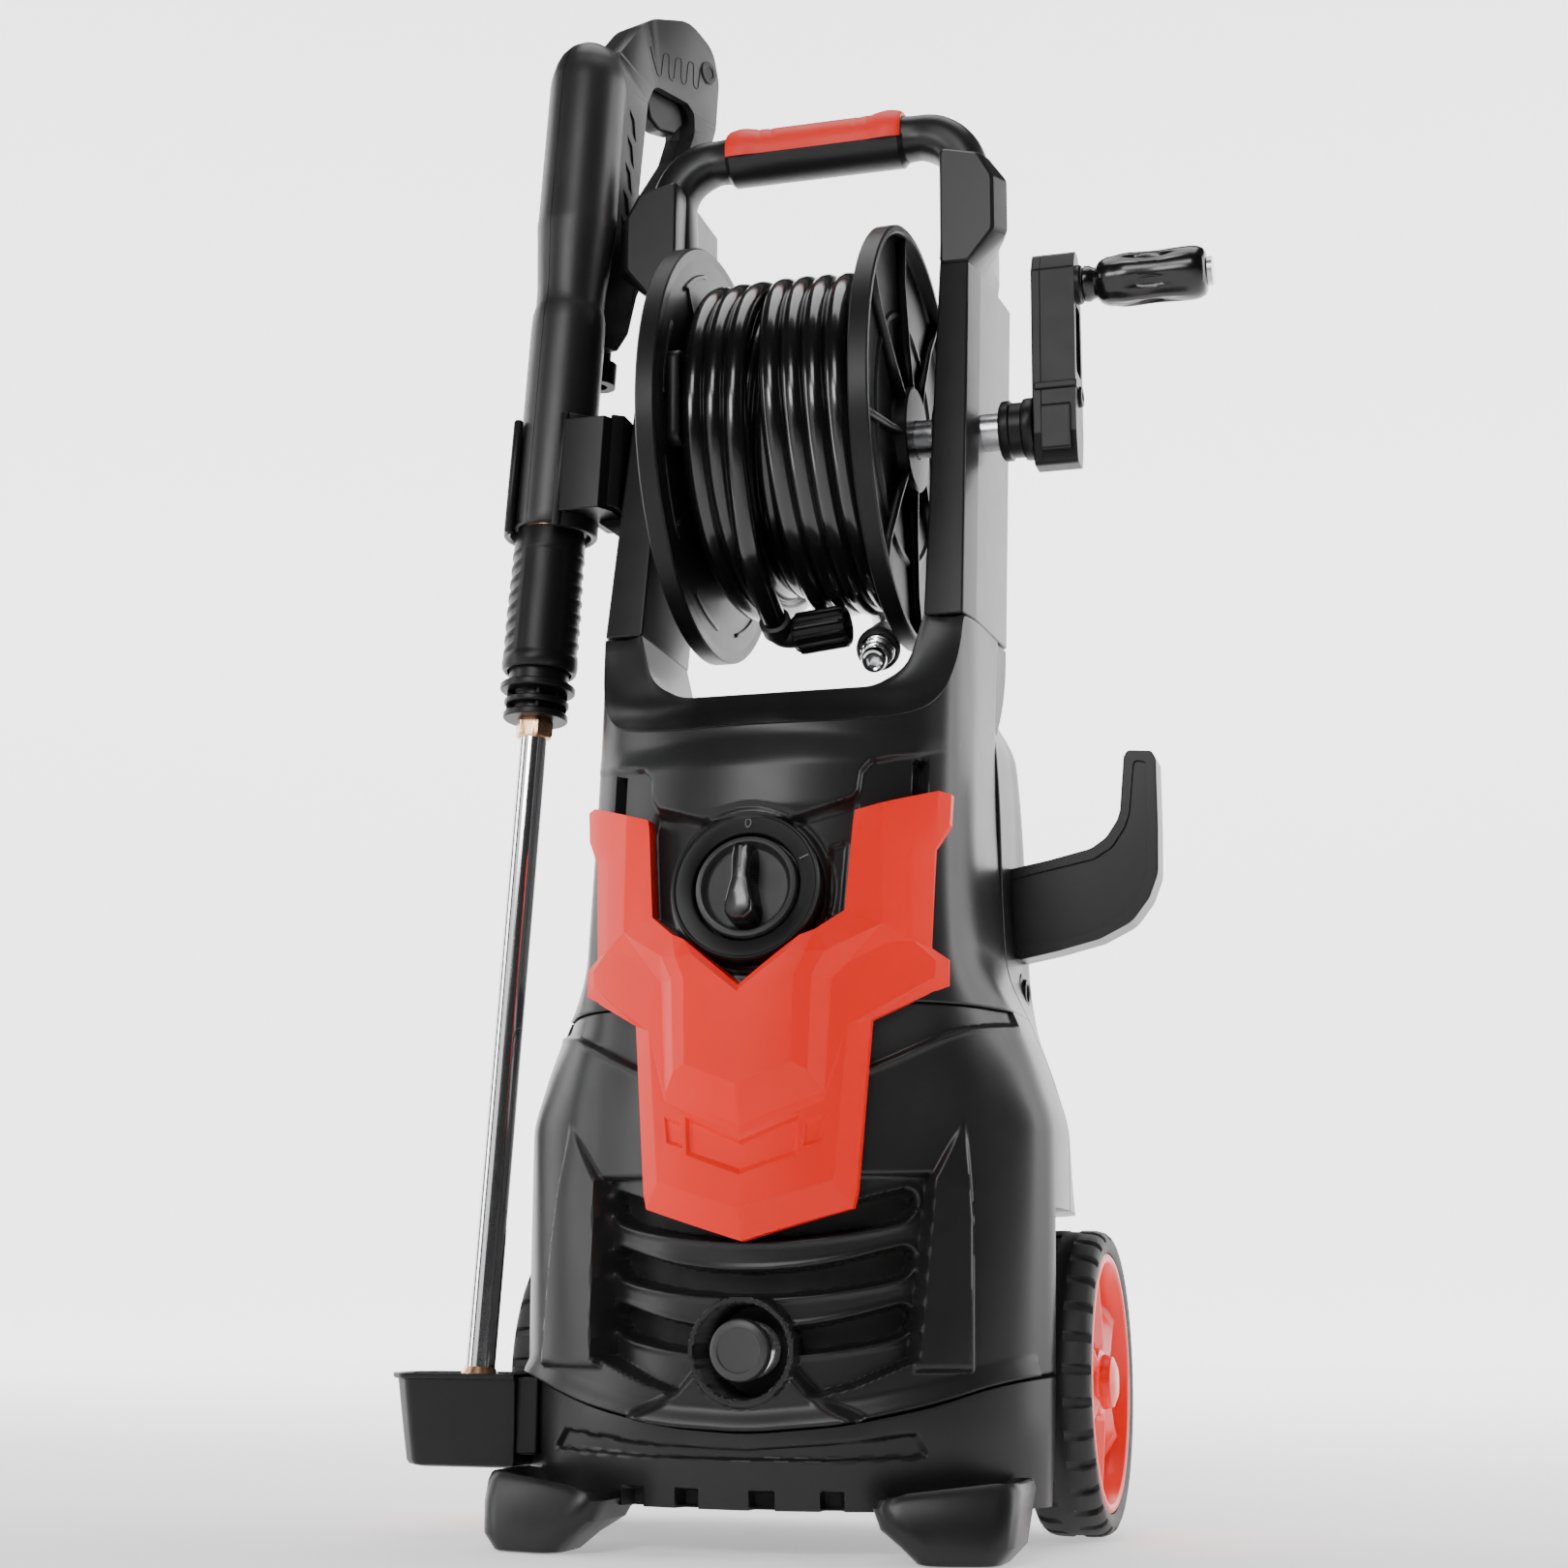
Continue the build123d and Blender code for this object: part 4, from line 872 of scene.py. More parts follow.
PE = [("a0", "a1"), ("a1", "a2"), ("a2", "a3"), ("a3", "a4"), ("a4", "a5"), ("a5", "a6"), ("a6", "a7"), ("a7", "a8"), ("a8", "a9"), ("a9", "a10"), ("a10", "a11"), ("a11", "a12"),
      ("a0", "i1"), ("i1", "i2"), ("i2", "i3"), ("i3", "i4"), ("i4", "i5"), ("a1", "s0"), ("s0", "s1"), ("s1", "s2"), ("s2", "s3"), ("s3", "s4"), ("s0", "i2"),
      ("p1", "p2"), ("p2", "p3"), ("p3", "p4"), ("p1", "p5"), ("p5", "p6"), ("p1", "s1"), ("p1", "i4"), ("i3", "p1"), ("s0", "w0"), ("w0", "w1"), ("w1", "w2"), ("w2", "w3"), ("w3", "w4"), ("l3", "l4"), ("w3", "l3"),
      ("a2", "c4"), ("c4", "c5"), ("c5", "c6"), ("c6", "w0"), ("c6", "c7"), ("c7", "c8"), ("c8", "b1"), ("b1", "b2"), ("b2", "b3"), ("w2", "b1"),
      ("v1", "v2"), ("v3", "v4"), ("v4", "v1"), ("q1", "q2"), ("q3", "q4"), ("q4", "q1"), ("t1", "t2"), ("t2", "t3"), ("t3", "t4"), ("t4", "t1"), ("h1", "h2"), ("h2", "h3"), ("h3", "h4"), ("h4", "h1")]


def facet_panel(PV, PE, yfun, back, mat, name, body="chassis"):
    names = list(PV)
    V2, H, E = [], [], []
    idx = {}
    for n in names:
        for s in (1, -1):
            if s == -1 and PV[n][0] == 0:
                idx[(n, -1)] = idx[(n, 1)]
                continue
            idx[(n, s)] = len(V2)
            V2.append((s * PV[n][0], PV[n][1]))
            H.append(PV[n][2])
    for a, b in PE:
        for s in (1, -1):
            E.append((idx[(a, s)], idx[(b, s)]))
    vs, es, fs, ov, _, _ = delaunay_2d_cdt([Vector(v) for v in V2], E, [], 0, 1e-4)
    H2 = []
    for k, v in enumerate(vs):
        if ov[k]:
            H2.append(H[ov[k][0]])
        else:
            d = [(v - Vector(q)).length for q in V2]
            H2.append(H[int(np.argmin(d))])
    A = np.array([[v.x, v.y] for v in vs])
    H2 = np.array(H2)
    tris = np.array([tuple(f) for f in fs if len(f) == 3])
    # finer, with upright lines so it can follow the curve of the front
    co = [Vector((v.x, v.y)) for v in vs]
    ed = [tuple(e) for e in es]
    for x in np.arange(-112, 113, 7.0):
        ed.append((len(co), len(co) + 1))
        co += [Vector((float(x) + 0.13, 150.0)), Vector((float(x) + 0.13, 440.0))]
    v3, e3, f3, _, _, _ = delaunay_2d_cdt(co, ed, [], 0, 1e-4)
    B = np.array([[v.x, v.y] for v in v3])
    hh = np.full(len(B), np.nan)
    for t in tris:
        a, b, c = A[t[0]], A[t[1]], A[t[2]]
        den = (b[1] - c[1]) * (a[0] - c[0]) + (c[0] - b[0]) * (a[1] - c[1])
        if abs(den) < 1e-9:
            continue
        l1 = ((b[1] - c[1]) * (B[:, 0] - c[0]) + (c[0] - b[0]) * (B[:, 1] - c[1])) / den
        l2 = ((c[1] - a[1]) * (B[:, 0] - c[0]) + (a[0] - c[0]) * (B[:, 1] - c[1])) / den
        l3 = 1 - l1 - l2
        ok = (l1 > -1e-4) & (l2 > -1e-4) & (l3 > -1e-4)
        hh = np.where(ok & np.isnan(hh), l1 * H2[t[0]] + l2 * H2[t[1]] + l3 * H2[t[2]], hh)
    right = ["a0", "a1", "a2", "a3", "a4", "a5", "a6", "a7", "a8", "a9", "a10", "a11", "a12"]
    left = ["a11", "a10", "a9", "a8", "a7", "a6", "a5", "a4", "a3", "a2", "a1", "a0"]
    inner = [("i1", -1), ("i2", -1), ("i3", -1), ("i4", -1), ("i5", 1), ("i4", 1), ("i3", 1), ("i2", 1), ("i1", 1)]
    OUT = [PV[n][:2] for n in right] + [(-PV[n][0], PV[n][1]) for n in left] + [(s * PV[n][0], PV[n][1]) for n, s in inner]
    keep = []
    for f in f3:
        c = B[list(f)].mean(0)
        if float(poly_sd(np.array([c[0]]), np.array([c[1]]), OUT)[0]) > 0 and not np.isnan(hh[list(f)]).any():
            keep.append(tuple(f))
    used = sorted({i for f in keep for i in f})
    rm = {k: i for i, k in enumerate(used)}
    F = [tuple(rm[i] for i in f) for f in keep]
    B, hh = B[used], hh[used]
    yf = yfun(B[:, 0], B[:, 1]) - hh
    yb = back(B[:, 0], B[:, 1])
    yb = np.maximum(yb, yf + 1.5)
    nv = len(B)
    front = np.stack([B[:, 0], yf, B[:, 1]], -1)
    rearv = np.stack([B[:, 0], yb, B[:, 1]], -1)
    cnt = {}
    for f in F:
        for i in range(len(f)):
            cnt[(f[i], f[(i + 1) % len(f)])] = 1
    faces = list(F) + [tuple(nv + i for i in reversed(f)) for f in F]
    for (a, b) in cnt:
        if (b, a) not in cnt:
            faces.append((b, a, a + nv, b + nv))
    o = new_mesh(name, np.concatenate([front, rearv]), faces, mat, body)
    clean(o)
    bm = bmesh.new()
    bm.from_mesh(o.data)
    bmesh.ops.join_triangles(bm, faces=bm.faces, angle_face_threshold=math.radians(1.0), angle_shape_threshold=math.radians(60))
    bm.to_mesh(o.data)
    bm.free()
    return o


def panel_y(x, z):
    return -126.5 + x * x / 257.0 + 0.0 * z


def panel_back(x, z):
    return -112.6 + x * x / 330.0 + 8.6 * np.clip((z - 336) / 134.0, 0, 1)


panel = facet_panel(PV, PE, panel_y, panel_back, RED, "accent_panel_visual")
bevel(panel, 0.75, 2, 9)
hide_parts("accent_panel")

# ------------------------------------------------------------------ band across the top of the tower
def front_y(z):
    return -60.0 + (z - 472.0) * math.tan(math.radians(12.0)) * 0.72


ru = np.concatenate([np.linspace(-6.2, -3, 22), np.linspace(-2.9, 2.9, 30), np.linspace(3, 6.2, 22)])
rz = rim_z(ru)
rx, ry, rnx, rny = surf(ru, rz, True)
WIN = round_poly([(-89.0, 560), (-89.0, 537), (-80.0, 504), (-60.0, 493.5), (60.0, 493.5), (80.0, 504), (89.0, 537), (89.0, 560)], [0, 0, 26, 26, 26, 26, 0, 0], 8)
WIN = np.array([p for p in WIN if p[1] <= 537.5])
ws = np.concatenate([[0], np.cumsum(np.hypot(*np.diff(WIN, axis=0).T))])
rs = np.concatenate([[0], np.cumsum(np.sqrt(np.diff(rx) ** 2 + np.diff(ry) ** 2 + np.diff(rz) ** 2))])
tt = rs / rs[-1]
wx = np.interp(tt, ws / ws[-1], WIN[:, 0])
wz = np.interp(tt, ws / ws[-1], WIN[:, 1])
rings = []
for k in range(len(ru)):
    R = np.array([rx[k], ry[k], rz[k]])
    yf = front_y(wz[k])
    Wp = np.array([wx[k], yf, wz[k]])
    N = np.array([rnx[k], rny[k], 0.0])
    side = float(sm((abs(ru[k]) - 3.6) / 2.2))
    d = (Wp - R) / np.linalg.norm(Wp - R)
    sag = np.cross(d, np.array([1.0, 0, 0]))
    rear_y = yf + 92
    # the rear outside corner
    ex = np.sign(R[0]) * np.interp(side, [0, 1], [abs(R[0]), 121.5])
    E1 = np.array([ex, rear_y, np.interp(side, [0, 1], [463.0, R[2]])])
    F1 = np.array([np.sign(R[0]) * np.interp(side, [0, 1], [abs(R[0]), 117.2]), -28.0, np.interp(side, [0, 1], [463.0, R[2]])])
    ring = []
    ring.append(R + np.array([0, 2.0, -2.2]) * (1 - side) + np.array([0, 1.5, 0.3]) * side)
    ring.append(R + N * 0.4)
    ring.append(R + N * 0.2 + d * 1.4)
    for s in (0.15, 0.35, 0.55, 0.75, 0.9):
        ring.append(R + (Wp - R) * s + np.array([0, 1, -1]) * 0.0 + np.array([0.0, 2.6, -2.6]) * math.sin(math.pi * s) * (1 - 0.7 * side))
    ring.append(Wp - d * 1.6)
    ring.append(Wp + np.array([0, 0.2, 0.2]))
    ring.append(Wp + np.array([0, 1.8, 0.0]))
    ring.append(np.array([wx[k], (yf + rear_y) / 2, wz[k]]))
    ring.append(np.array([wx[k], rear_y - 2, wz[k]]))
    ring.append(np.array([wx[k], rear_y, wz[k]]) + (E1 - Wp) * np.array([0.1, 0, 0.1]))
    ring.append(E1)
    ring.append(F1 + np.array([0, 34, 0]))
    ring.append(F1)
    rings.append(ring)
cradle = loft("reel_cradle_visual", rings, CHARCOAL)
sharp_by_angle(cradle, 42)
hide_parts("reel_cradle")


# ------------------------------------------------------------------ uprights
def up_sec(z, inset=0.0, r=4.0):
    t = (z - 537.0) / (785.0 - 537.0)
    yf = -50.0 + t * 54.0
    yr = yf + 93.0
    xf = 113.0 + t * (107.7 - 113.0)
    xr = 122.5 + t * (118.0 - 122.5)
    P = [(89.0 + inset, yf + inset), (xf - inset, yf + inset), (xf + 4.2 - inset, yf + 20), (xr - inset, yr - inset), (89.0 + inset, yr - inset)]
    q = round_poly(P, [1.6, 2.2, 12.0, 4.0, 2.0], 4)
    return [(p[0], p[1], z) for p in q]


zs = [537.5, 538.2] + list(np.linspace(545, 780, 14)) + [785.0]
rings = [up_sec(zs[0], 0.7)] + [up_sec(z) for z in zs[1:]]
upr = loft("upright_r", rings, CHARCOAL)
sharp_by_angle(upr, 25)
pieces = [upr]
# boss of the reel bearing on the inner face
boss = revolve("boss", [(16.4, -1.0), (27.0, -1.0), (27.0, 1.2), (26.0, 2.4), (17.2, 2.4), (16.4, 1.6), (16.4, -1.0)], (89.4, REEL[1], REEL[2]), (-1, 0, 0), DARK, n=56)
pieces.append(boss)
upr = join("upright_right_visual", pieces)
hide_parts("upright_right")
upl = mirrored(upr, "upright_left_visual")
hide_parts("upright_left")

# ------------------------------------------------------------------ shoulders and handle
def sho_ring(y, k, grow=0.0, top=866.0, low=785.0):
    P = [(89.0 + grow, low + grow), (108 - grow * .5, low + grow), (108 + (23.5) * k - grow, 806), (108 + 23.5 * k - grow, 842), (108 + 11.0 * k - grow, top - 6 - grow), (89 + grow, top - grow)]
    q = round_poly(P, [1.5, 4, 6, 8, 6, 3], 4)
    return [(p[0], y, p[1]) for p in q]


rings = [sho_ring(3.4, 0.70, 2.0), sho_ring(4.4, 0.74, 0.6), sho_ring(6.5, 0.78), sho_ring(14, 1.0), sho_ring(26, 0.82), sho_ring(40, 0.55), sho_ring(70, 0.18), sho_ring(94, 0.12), sho_ring(96, 0.12, 1.5)]
sho = loft("shoulder_r", rings, CHARCOAL)
sharp_by_angle(sho, 22)
fin_pts = [(88.0, 866.0), (108.0, 866.0), (118.5, 864), (131, 846), (131, 806)]
sho_l = mirrored(sho, "shoulder_l")


def bail_path():
    pts = [np.array(p, float) for p in ((98, 35, 800), (103, 35, 890), (-103, 35, 890), (-98, 35, 800))]
    out = [pts[0]]
    r = 32.0
    for a, b, c in zip(pts, pts[1:], pts[2:]):
        u, v = a - b, c - b
        u, v = u / np.linalg.norm(u), v / np.linalg.norm(v)
        half = math.acos(float(u @ v)) / 2
        t = r / math.tan(half)
        cen = b + (u + v) / np.linalg.norm(u + v) * (r / math.sin(half))
        p0, p1 = b + u * t, b + v * t
        e1, e2 = p0 - cen, p1 - cen
        ang = math.acos(float(e1 @ e2) / r / r)
        for k in range(13):
            s = k / 12
            out.append(cen + (math.sin((1 - s) * ang) * e1 + math.sin(s * ang) * e2) / math.sin(ang))
    out.append(pts[-1])
    # evenly spaced, so the section can change along the bar
    P = np.array(out)
    L = np.concatenate([[0], np.cumsum(np.linalg.norm(np.diff(P, axis=0), axis=1))])
    n = 120
    s = np.linspace(0, L[-1], n)
    return np.stack([np.interp(s, L, P[:, i]) for i in range(3)], -1)


BP = bail_path()
rings = []
for k in range(len(BP)):
    d = BP[min(k + 1, len(BP) - 1)] - BP[max(k - 1, 0)]
    d /= np.linalg.norm(d)
    yax = np.array([0, 1.0, 0])
    n = np.cross(d, yax)
    x = BP[k][0]
    neck = 1.0 - 0.07 * math.exp(-((abs(x) - 68) / 9.0) ** 2)
    q = []
    for i in range(40):
        a = 2 * math.pi * i / 40
        c, s = math.cos(a), math.sin(a)
        e = 0.80
        q.append(BP[k] + n * (15.0 * neck) * math.copysign(abs(c) ** e, c) + yax * (15.4 * neck) * math.copysign(abs(s) ** e, s))
    rings.append(q)
bail = loft("bail", rings, CHARCOAL)
sharp_by_angle(bail, 50)
# trim under the red grip
trim = []
for x in np.linspace(-61, 61, 40):
    r = 18.4 if abs(x) < 58 else 18.4 - (abs(x) - 58) * 0.9
    trim.append([(x, 35 + r * math.cos(a), 890 + r * math.sin(a)) for a in np.linspace(math.pi * 1.06, math.pi * 1.94, 22)] + [(x, 35 + 12 * math.cos(a), 890 + 12 * math.sin(a)) for a in np.linspace(math.pi * 1.92, math.pi * 1.08, 10)])
trim_o = loft("grip_trim", trim, CHARCOAL)
sharp_by_angle(trim_o, 40)
bail = join("handle_bail_visual", [bail, sho, sho_l, trim_o])
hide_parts("handle_bail")

# red grip: crowned half shell, closed by the trim below, with shallow finger waves near its ends
rings = []
for x in np.linspace(-60, 60, 121):
    end = min(1.0, (60 - abs(x)) / 3.0)
    r0 = 19.0 + 2.1 * math.exp(-((abs(x) - 50) / 9.0) ** 2) - 1.1 * (1 - end) ** 2
    ring = []
    for a in np.linspace(-0.28, math.pi + 0.28, 44):
        dimple = 0.0
        for q in (33, 41):
            dimple += 0.55 * math.exp(-(((abs(x) - q) - 5.0 * math.cos(a)) / 1.2) ** 2) * float(sm((math.sin(a) - 0.15) / 0.4))
        rr = r0 - dimple
        ring.append((x, 35 + rr * math.cos(a), 890 + rr * math.sin(a) * (1.0 if a < 0 or a > math.pi else 0.97)))
    for a in np.linspace(math.pi + 0.24, -0.24, 20):
        ring.append((x, 35 + 15.9 * math.cos(a), 890 + 15.9 * math.sin(a)))
    rings.append(ring)
grip = loft("handle_grip_visual", rings, RED_GRIP)
sharp_by_angle(grip, 40)
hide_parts("handle_grip")


# ------------------------------------------------------------------ feet
def foot_piece(name):
    secs = [
        (0.6, [(98, -136), (142, -125.5), (143, -88), (98, -96)], 1.0),
        (0.0, [(100, -135), (141, -124), (142, -89), (100, -97)], 0.0),
        (9, [(90, -140), (149, -124), (150, -76), (90, -86)], 0),
        (22, [(80, -140.5), (151, -120), (151, -66), (78, -78)], 0),
        (33, [(75, -139), (151.5, -114), (152, -60), (74, -70)], 0),
        (37, [(76, -137), (150.5, -111), (151, -60), (75, -70)], 0),
    ]
    order = [secs[1], secs[0]] + secs[2:]
    rings = []
    for z, P, _ in order:
        q = round_poly(P, [14, 16, 6, 6], 6)
        rings.append([(p[0], p[1], z + (0.0 if z < 20 else 3.5 * float(sm((p[0] - 92) / 26)) - 5.0 * float(sm((106 - p[0]) / 30)))) for p in q])
    # the scooped top
    top = rings[-1]
    cen = np.mean(np.array(top), axis=0)
    for f, dz in ((0.97, 0.8), (0.93, 0.2), (0.84, -4.0), (0.7, -6.5), (0.45, -8.0)):
        rings.append([tuple(cen + (np.array(p) - cen) * np.array([f, f, 1.0]) + np.array([0, 0, dz])) for p in top])
    o = loft(name, rings, CHARCOAL)
    sharp_by_angle(o, 30)
    return o


fr = foot_piece("foot_r")
fl = mirrored(fr, "foot_l")
feet = join("front_feet_visual", [fr, fl])
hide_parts("front_feet")

# ------------------------------------------------------------------ wheels
WC = np.array([0.0, 66.0, 89.0])


def tyre_mesh(name, s, body):
    X0, X1 = 135.0, 175.5
    prof = [(75.6, X0 + 1), (80.5, X0 + 0.2), (83.0, X0), (85.2, X0 + 1.0), (87.4, X0 + 3.6), (88.6, X0 + 7.5), (88.8, X0 + 12), (88.8, 151), (88.0, 152.5), (88.0, 158), (88.8, 159.5), (88.8, X1 - 12), (88.6, X1 - 7.5), (87.4, X1 - 3.6), (85.2, X1 - 1.0), (83.0, X1), (80.5, X1 - 0.2), (77.5, X1 - 0.6), (75.6, X1 - 1.4), (75.6, X0 + 1)]
    fine = []
    for a, b in zip(prof, prof[1:]):
        k = max(1, int(math.hypot(b[0] - a[0], b[1] - a[1]) / 2.4))
        fine += [(a[0] + (b[0] - a[0]) * i / k, a[1] + (b[1] - a[1]) * i / k) for i in range(k)]
    fine.append(prof[-1])

    def rad(r, t, h):
        if r < 84.0:
            return r
        d = 0.0
        ph = (t / (2 * math.pi) * 30)
        left = h < 155.25
        u = (ph + (0.0 if left else 0.5)) % 1.0
        near = abs(u - 0.5)
        edge = (h - X0) if left else (X1 - h)
        d = 3.2 * float(sm((0.17 - near) / 0.05)) * float(sm((13.0 - edge) / 2.0))
        return r - d * float(sm((r - 84.0) / 2.0))

    o = revolve(name, [(r, s * h) for r, h in fine] if s > 0 else [(r, -h) for r, h in fine], WC, (1, 0, 0), TYRE, body, n=540, radial=lambda r, t, h: rad(r, t, abs(h)), sharp=38)
    return o


def hub_mesh(name, s, body):
    objs = []
    rim = revolve("rim", [(75.4, 136.5), (75.4, 172.2), (75.0, 173.6), (73.6, 174.6), (71.6, 174.6), (70.2, 173.6), (69.2, 171.0), (67.5, 167.0), (66.6, 160.0), (66.0, 150.0), (66.0, 137.5), (67.0, 136.5), (75.4, 136.5)], WC, (1, 0, 0), RED_HUB, body, n=144)
    objs.append(rim)
    disc = revolve("disc", [(8.3, 146.0), (68.0, 146.0), (68.0, 150.5), (40.0, 152.5), (8.3, 152.5), (8.3, 146.0)], WC, (1, 0, 0), RED_HUB, body, n=144)
    objs.append(disc)
    cap = revolve("hub_barrel", [(8.3, 136.0), (19.0, 136.0), (20.0, 137.0), (20.0, 160), (21.5, 164), (19.5, 168.6), (16.0, 170.0), (8.3, 170.0), (8.3, 136.0)], WC, (1, 0, 0), RED_HUB, body, n=96)
    objs.append(cap)
    objs.append(revolve("cap", [(0, 166), (15.5, 166), (16, 171), (14.5, 175.5), (9.5, 177.6), (0, 178)], WC, (1, 0, 0), RED_HUB, body, n=48))
    # six ridged spokes that widen to the rim, each a roof of two facets with side walls
    for k in range(6):
        a = math.radians(60 * k + 30)
        secs = []
        for r, wdt, ridge, side in ((14, 6.5, 169.0, 166.0), (22, 8.0, 170.5, 165.5), (34, 8.6, 170.0, 163.0), (50, 10.5, 169.0, 161.0), (62, 14.5, 168.0, 160.0), (69, 20.0, 168.5, 163.0)):
            secs.append([(side, -wdt), (ridge, 0.0), (side, wdt), (149.0, wdt + 1.0), (149.0, -wdt - 1.0), ])
            secs[-1] = [(x, r, w) for x, w in secs[-1]]
        rings = []
        for sec in secs:
            rr = []
            for x, r, w in sec:
                rr.append((x, WC[1] + r * math.cos(a) - w * math.sin(a), WC[2] + r * math.sin(a) + w * math.cos(a)))
            rings.append(rr)
        sp = loft("spoke", rings, RED_HUB, body)
        bevel(sp, 0.8, 2, 12)
        objs.append(sp)
    o = join(name, objs, body)
    return o


tr = tyre_mesh("tyre_right_visual", 1, "wheel_right")
hr = hub_mesh("wheel_hub_right_visual", 1, "wheel_right")
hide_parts("tyre_right")
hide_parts("wheel_hub_right")
tl = mirrored(tr, "tyre_left_visual", "wheel_left")
hl = mirrored(hr, "wheel_hub_left_visual", "wheel_left")
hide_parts("tyre_left")
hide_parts("wheel_hub_left")


# ------------------------------------------------------------------ reel
def flange_mesh(name, s):
    X0, X1 = 59.7, 72.0
    objs = []
    prof = [(12.1, X0), (126.0, X0), (127.4, X0 + 0.2), (128.4, X0 - 0.0), (133.4, X0), (134.4, X0 + 1.0), (134.4, X1 - 1.0), (133.4, X1), (130.2, X1), (129.2, X1 - 1.0), (128.6, X0 + 5.0), (127.0, X0 + 3.4), (82.0, X0 + 3.4), (80.5, X0 + 5.2), (77.5, X0 + 5.2), (76.0, X0 + 3.4), (36.0, X0 + 3.4), (34.0, X0 + 5.0), (33.4, X1 - 1.0), (32.4, X1), (13.0, X1), (12.1, X1 - 1.0), (12.1, X0)]
    objs.append(revolve("disc", prof, (0, REEL[1], REEL[2]), (1, 0, 0), DARK, "reel", n=168, sharp=30))
    # radial ribs on the outer side, rings of short blocks on the inner side
    for k in range(8):
        a = math.radians(45 * k + 10)
        c, sn = math.cos(a), math.sin(a)
        rings = []
        for r, h in ((31, X1 - 1.0), (60, X1 - 2.6), (100, X1 - 3.6), (129.5, X1 - 2.2)):
            rings.append([(x, REEL[1] + r * c - w * sn, REEL[2] + r * sn + w * c) for x, w in ((X0 + 2, -1.7), (h, -1.2), (h, 1.2), (X0 + 2, 1.7))])
        rb = loft("rib", rings, DARK, "reel")
        objs.append(rb)
    for k in range(8):
        a0 = 45 * k + 18
        rings = []
        for q in np.linspace(a0, a0 + 26, 9):
            a = math.radians(q)
            c, sn = math.cos(a), math.sin(a)
            rings.append([(x, REEL[1] + r * c, REEL[2] + r * sn) for x, r in ((X0 + 1, 114.5), (X0 - 0.9, 114.8), (X0 - 0.9, 117.2), (X0 + 1, 117.5))])
        objs.append(loft("inner_rib", rings, DARK, "reel"))
    for k in range(4):
        a = math.radians(90 * k + 40)
        c, sn = math.cos(a), math.sin(a)
        rings = []
        for r in (84, 100, 114):
            rings.append([(x, REEL[1] + r * c - w * sn, REEL[2] + r * sn + w * c) for x, w in ((X0 + 1, -1.8), (X0 - 1.2, -1.3), (X0 - 1.2, 1.3), (X0 + 1, 1.8))])
        objs.append(loft("inner_radial", rings, DARK, "reel"))
    o = join(name, objs, "reel")
    return o


flr = flange_mesh("reel_flange_right_visual", 1)
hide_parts("reel_flange_right")
fll = mirrored(flr, "reel_flange_left_plain", "reel")
# D shaped hand loop on the inside of the left flange
lp = []
ca = np.array([-59.0, -62.0, 648.0])
path = [(-26, -13), (26, -15), (29, -8), (22, 12), (14, 16), (-14, 16), (-22, 12), (-29, -7)]
path = round_poly(path, [5, 5, 4, 4, 4, 4, 4, 4], 4)
ang = math.radians(8)
rings = []
for k, (uu, vv) in enumerate(path):
    y = REEL[1] - 97 + (vv) * math.cos(ang)
    z = REEL[2] + 2 + uu
    n = len(path)
    a, b = np.array(path[k - 1]), np.array(path[(k + 1) % n])
    t2 = (b - a) / np.linalg.norm(b - a)
    n2 = np.array([t2[1], -t2[0]])
    P0 = np.array([-59.7, y, z])
    nn = np.array([0, n2[1], n2[0]])
    rings.append([P0 + np.array([-1.0, 0, 0]) - nn * 2.2, P0 + np.array([7.5, 0, 0]) - nn * 1.8, P0 + np.array([8.2, 0, 0]) - nn * 1.0, P0 + np.array([8.2, 0, 0]) + nn * 1.0, P0 + np.array([7.5, 0, 0]) + nn * 1.8, P0 + np.array([-1.0, 0, 0]) + nn * 2.2])
rings.append(rings[0])
dl = loft("hand_loop", rings, DARK, "reel", caps=False)
fll = join("reel_flange_left_visual", [fll, dl], "reel")
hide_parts("reel_flange_left")

# ------------------------------------------------------------------ crank
hubc = revolve("crank_hub_visual", [(12.0, 126.3), (16.5, 126.3), (18.6, 127.5), (19.0, 129.0), (19.0, 132.5), (17.4, 133.5), (17.4, 140.5), (19.2, 141.5), (19.6, 143.0), (19.6, 146.8), (19.0, 148.0), (12.0, 148.0), (12.0, 126.3)], (0, REEL[1], REEL[2]), (1, 0, 0), DARK, "reel", n=72)
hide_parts("crank_hub")
RY, RZ = REEL[1], REEL[2]
objs = []
AO = round_poly([(RY - 14, 664), (RY - 9, 645), (RY + 9, 645), (RY + 14, 664), (RY + 14, 700), (RY + 12.4, 773), (RY + 6, 786), (RY - 6, 786), (RY - 12.4, 773), (RY - 14, 700)], [6, 5, 5, 6, 6, 6, 5, 5, 6, 6], 4)
AI = round_poly([(RY - 9.4, 704), (RY + 9.4, 704), (RY + 8.2, 750), (RY - 8.2, 750)], [4] * 4, 4)
objs.append(plate("arm_back", AO, [], (151.2, 0, 0), (0, 1, 0), (0, 0, 1), 3.2, 1.0, DARK, "reel"))
objs.append(plate("arm_frame", AO, [AI], (164.8, 0, 0), (0, 1, 0), (0, 0, 1), 10.8, 1.6, DARK, "reel"))
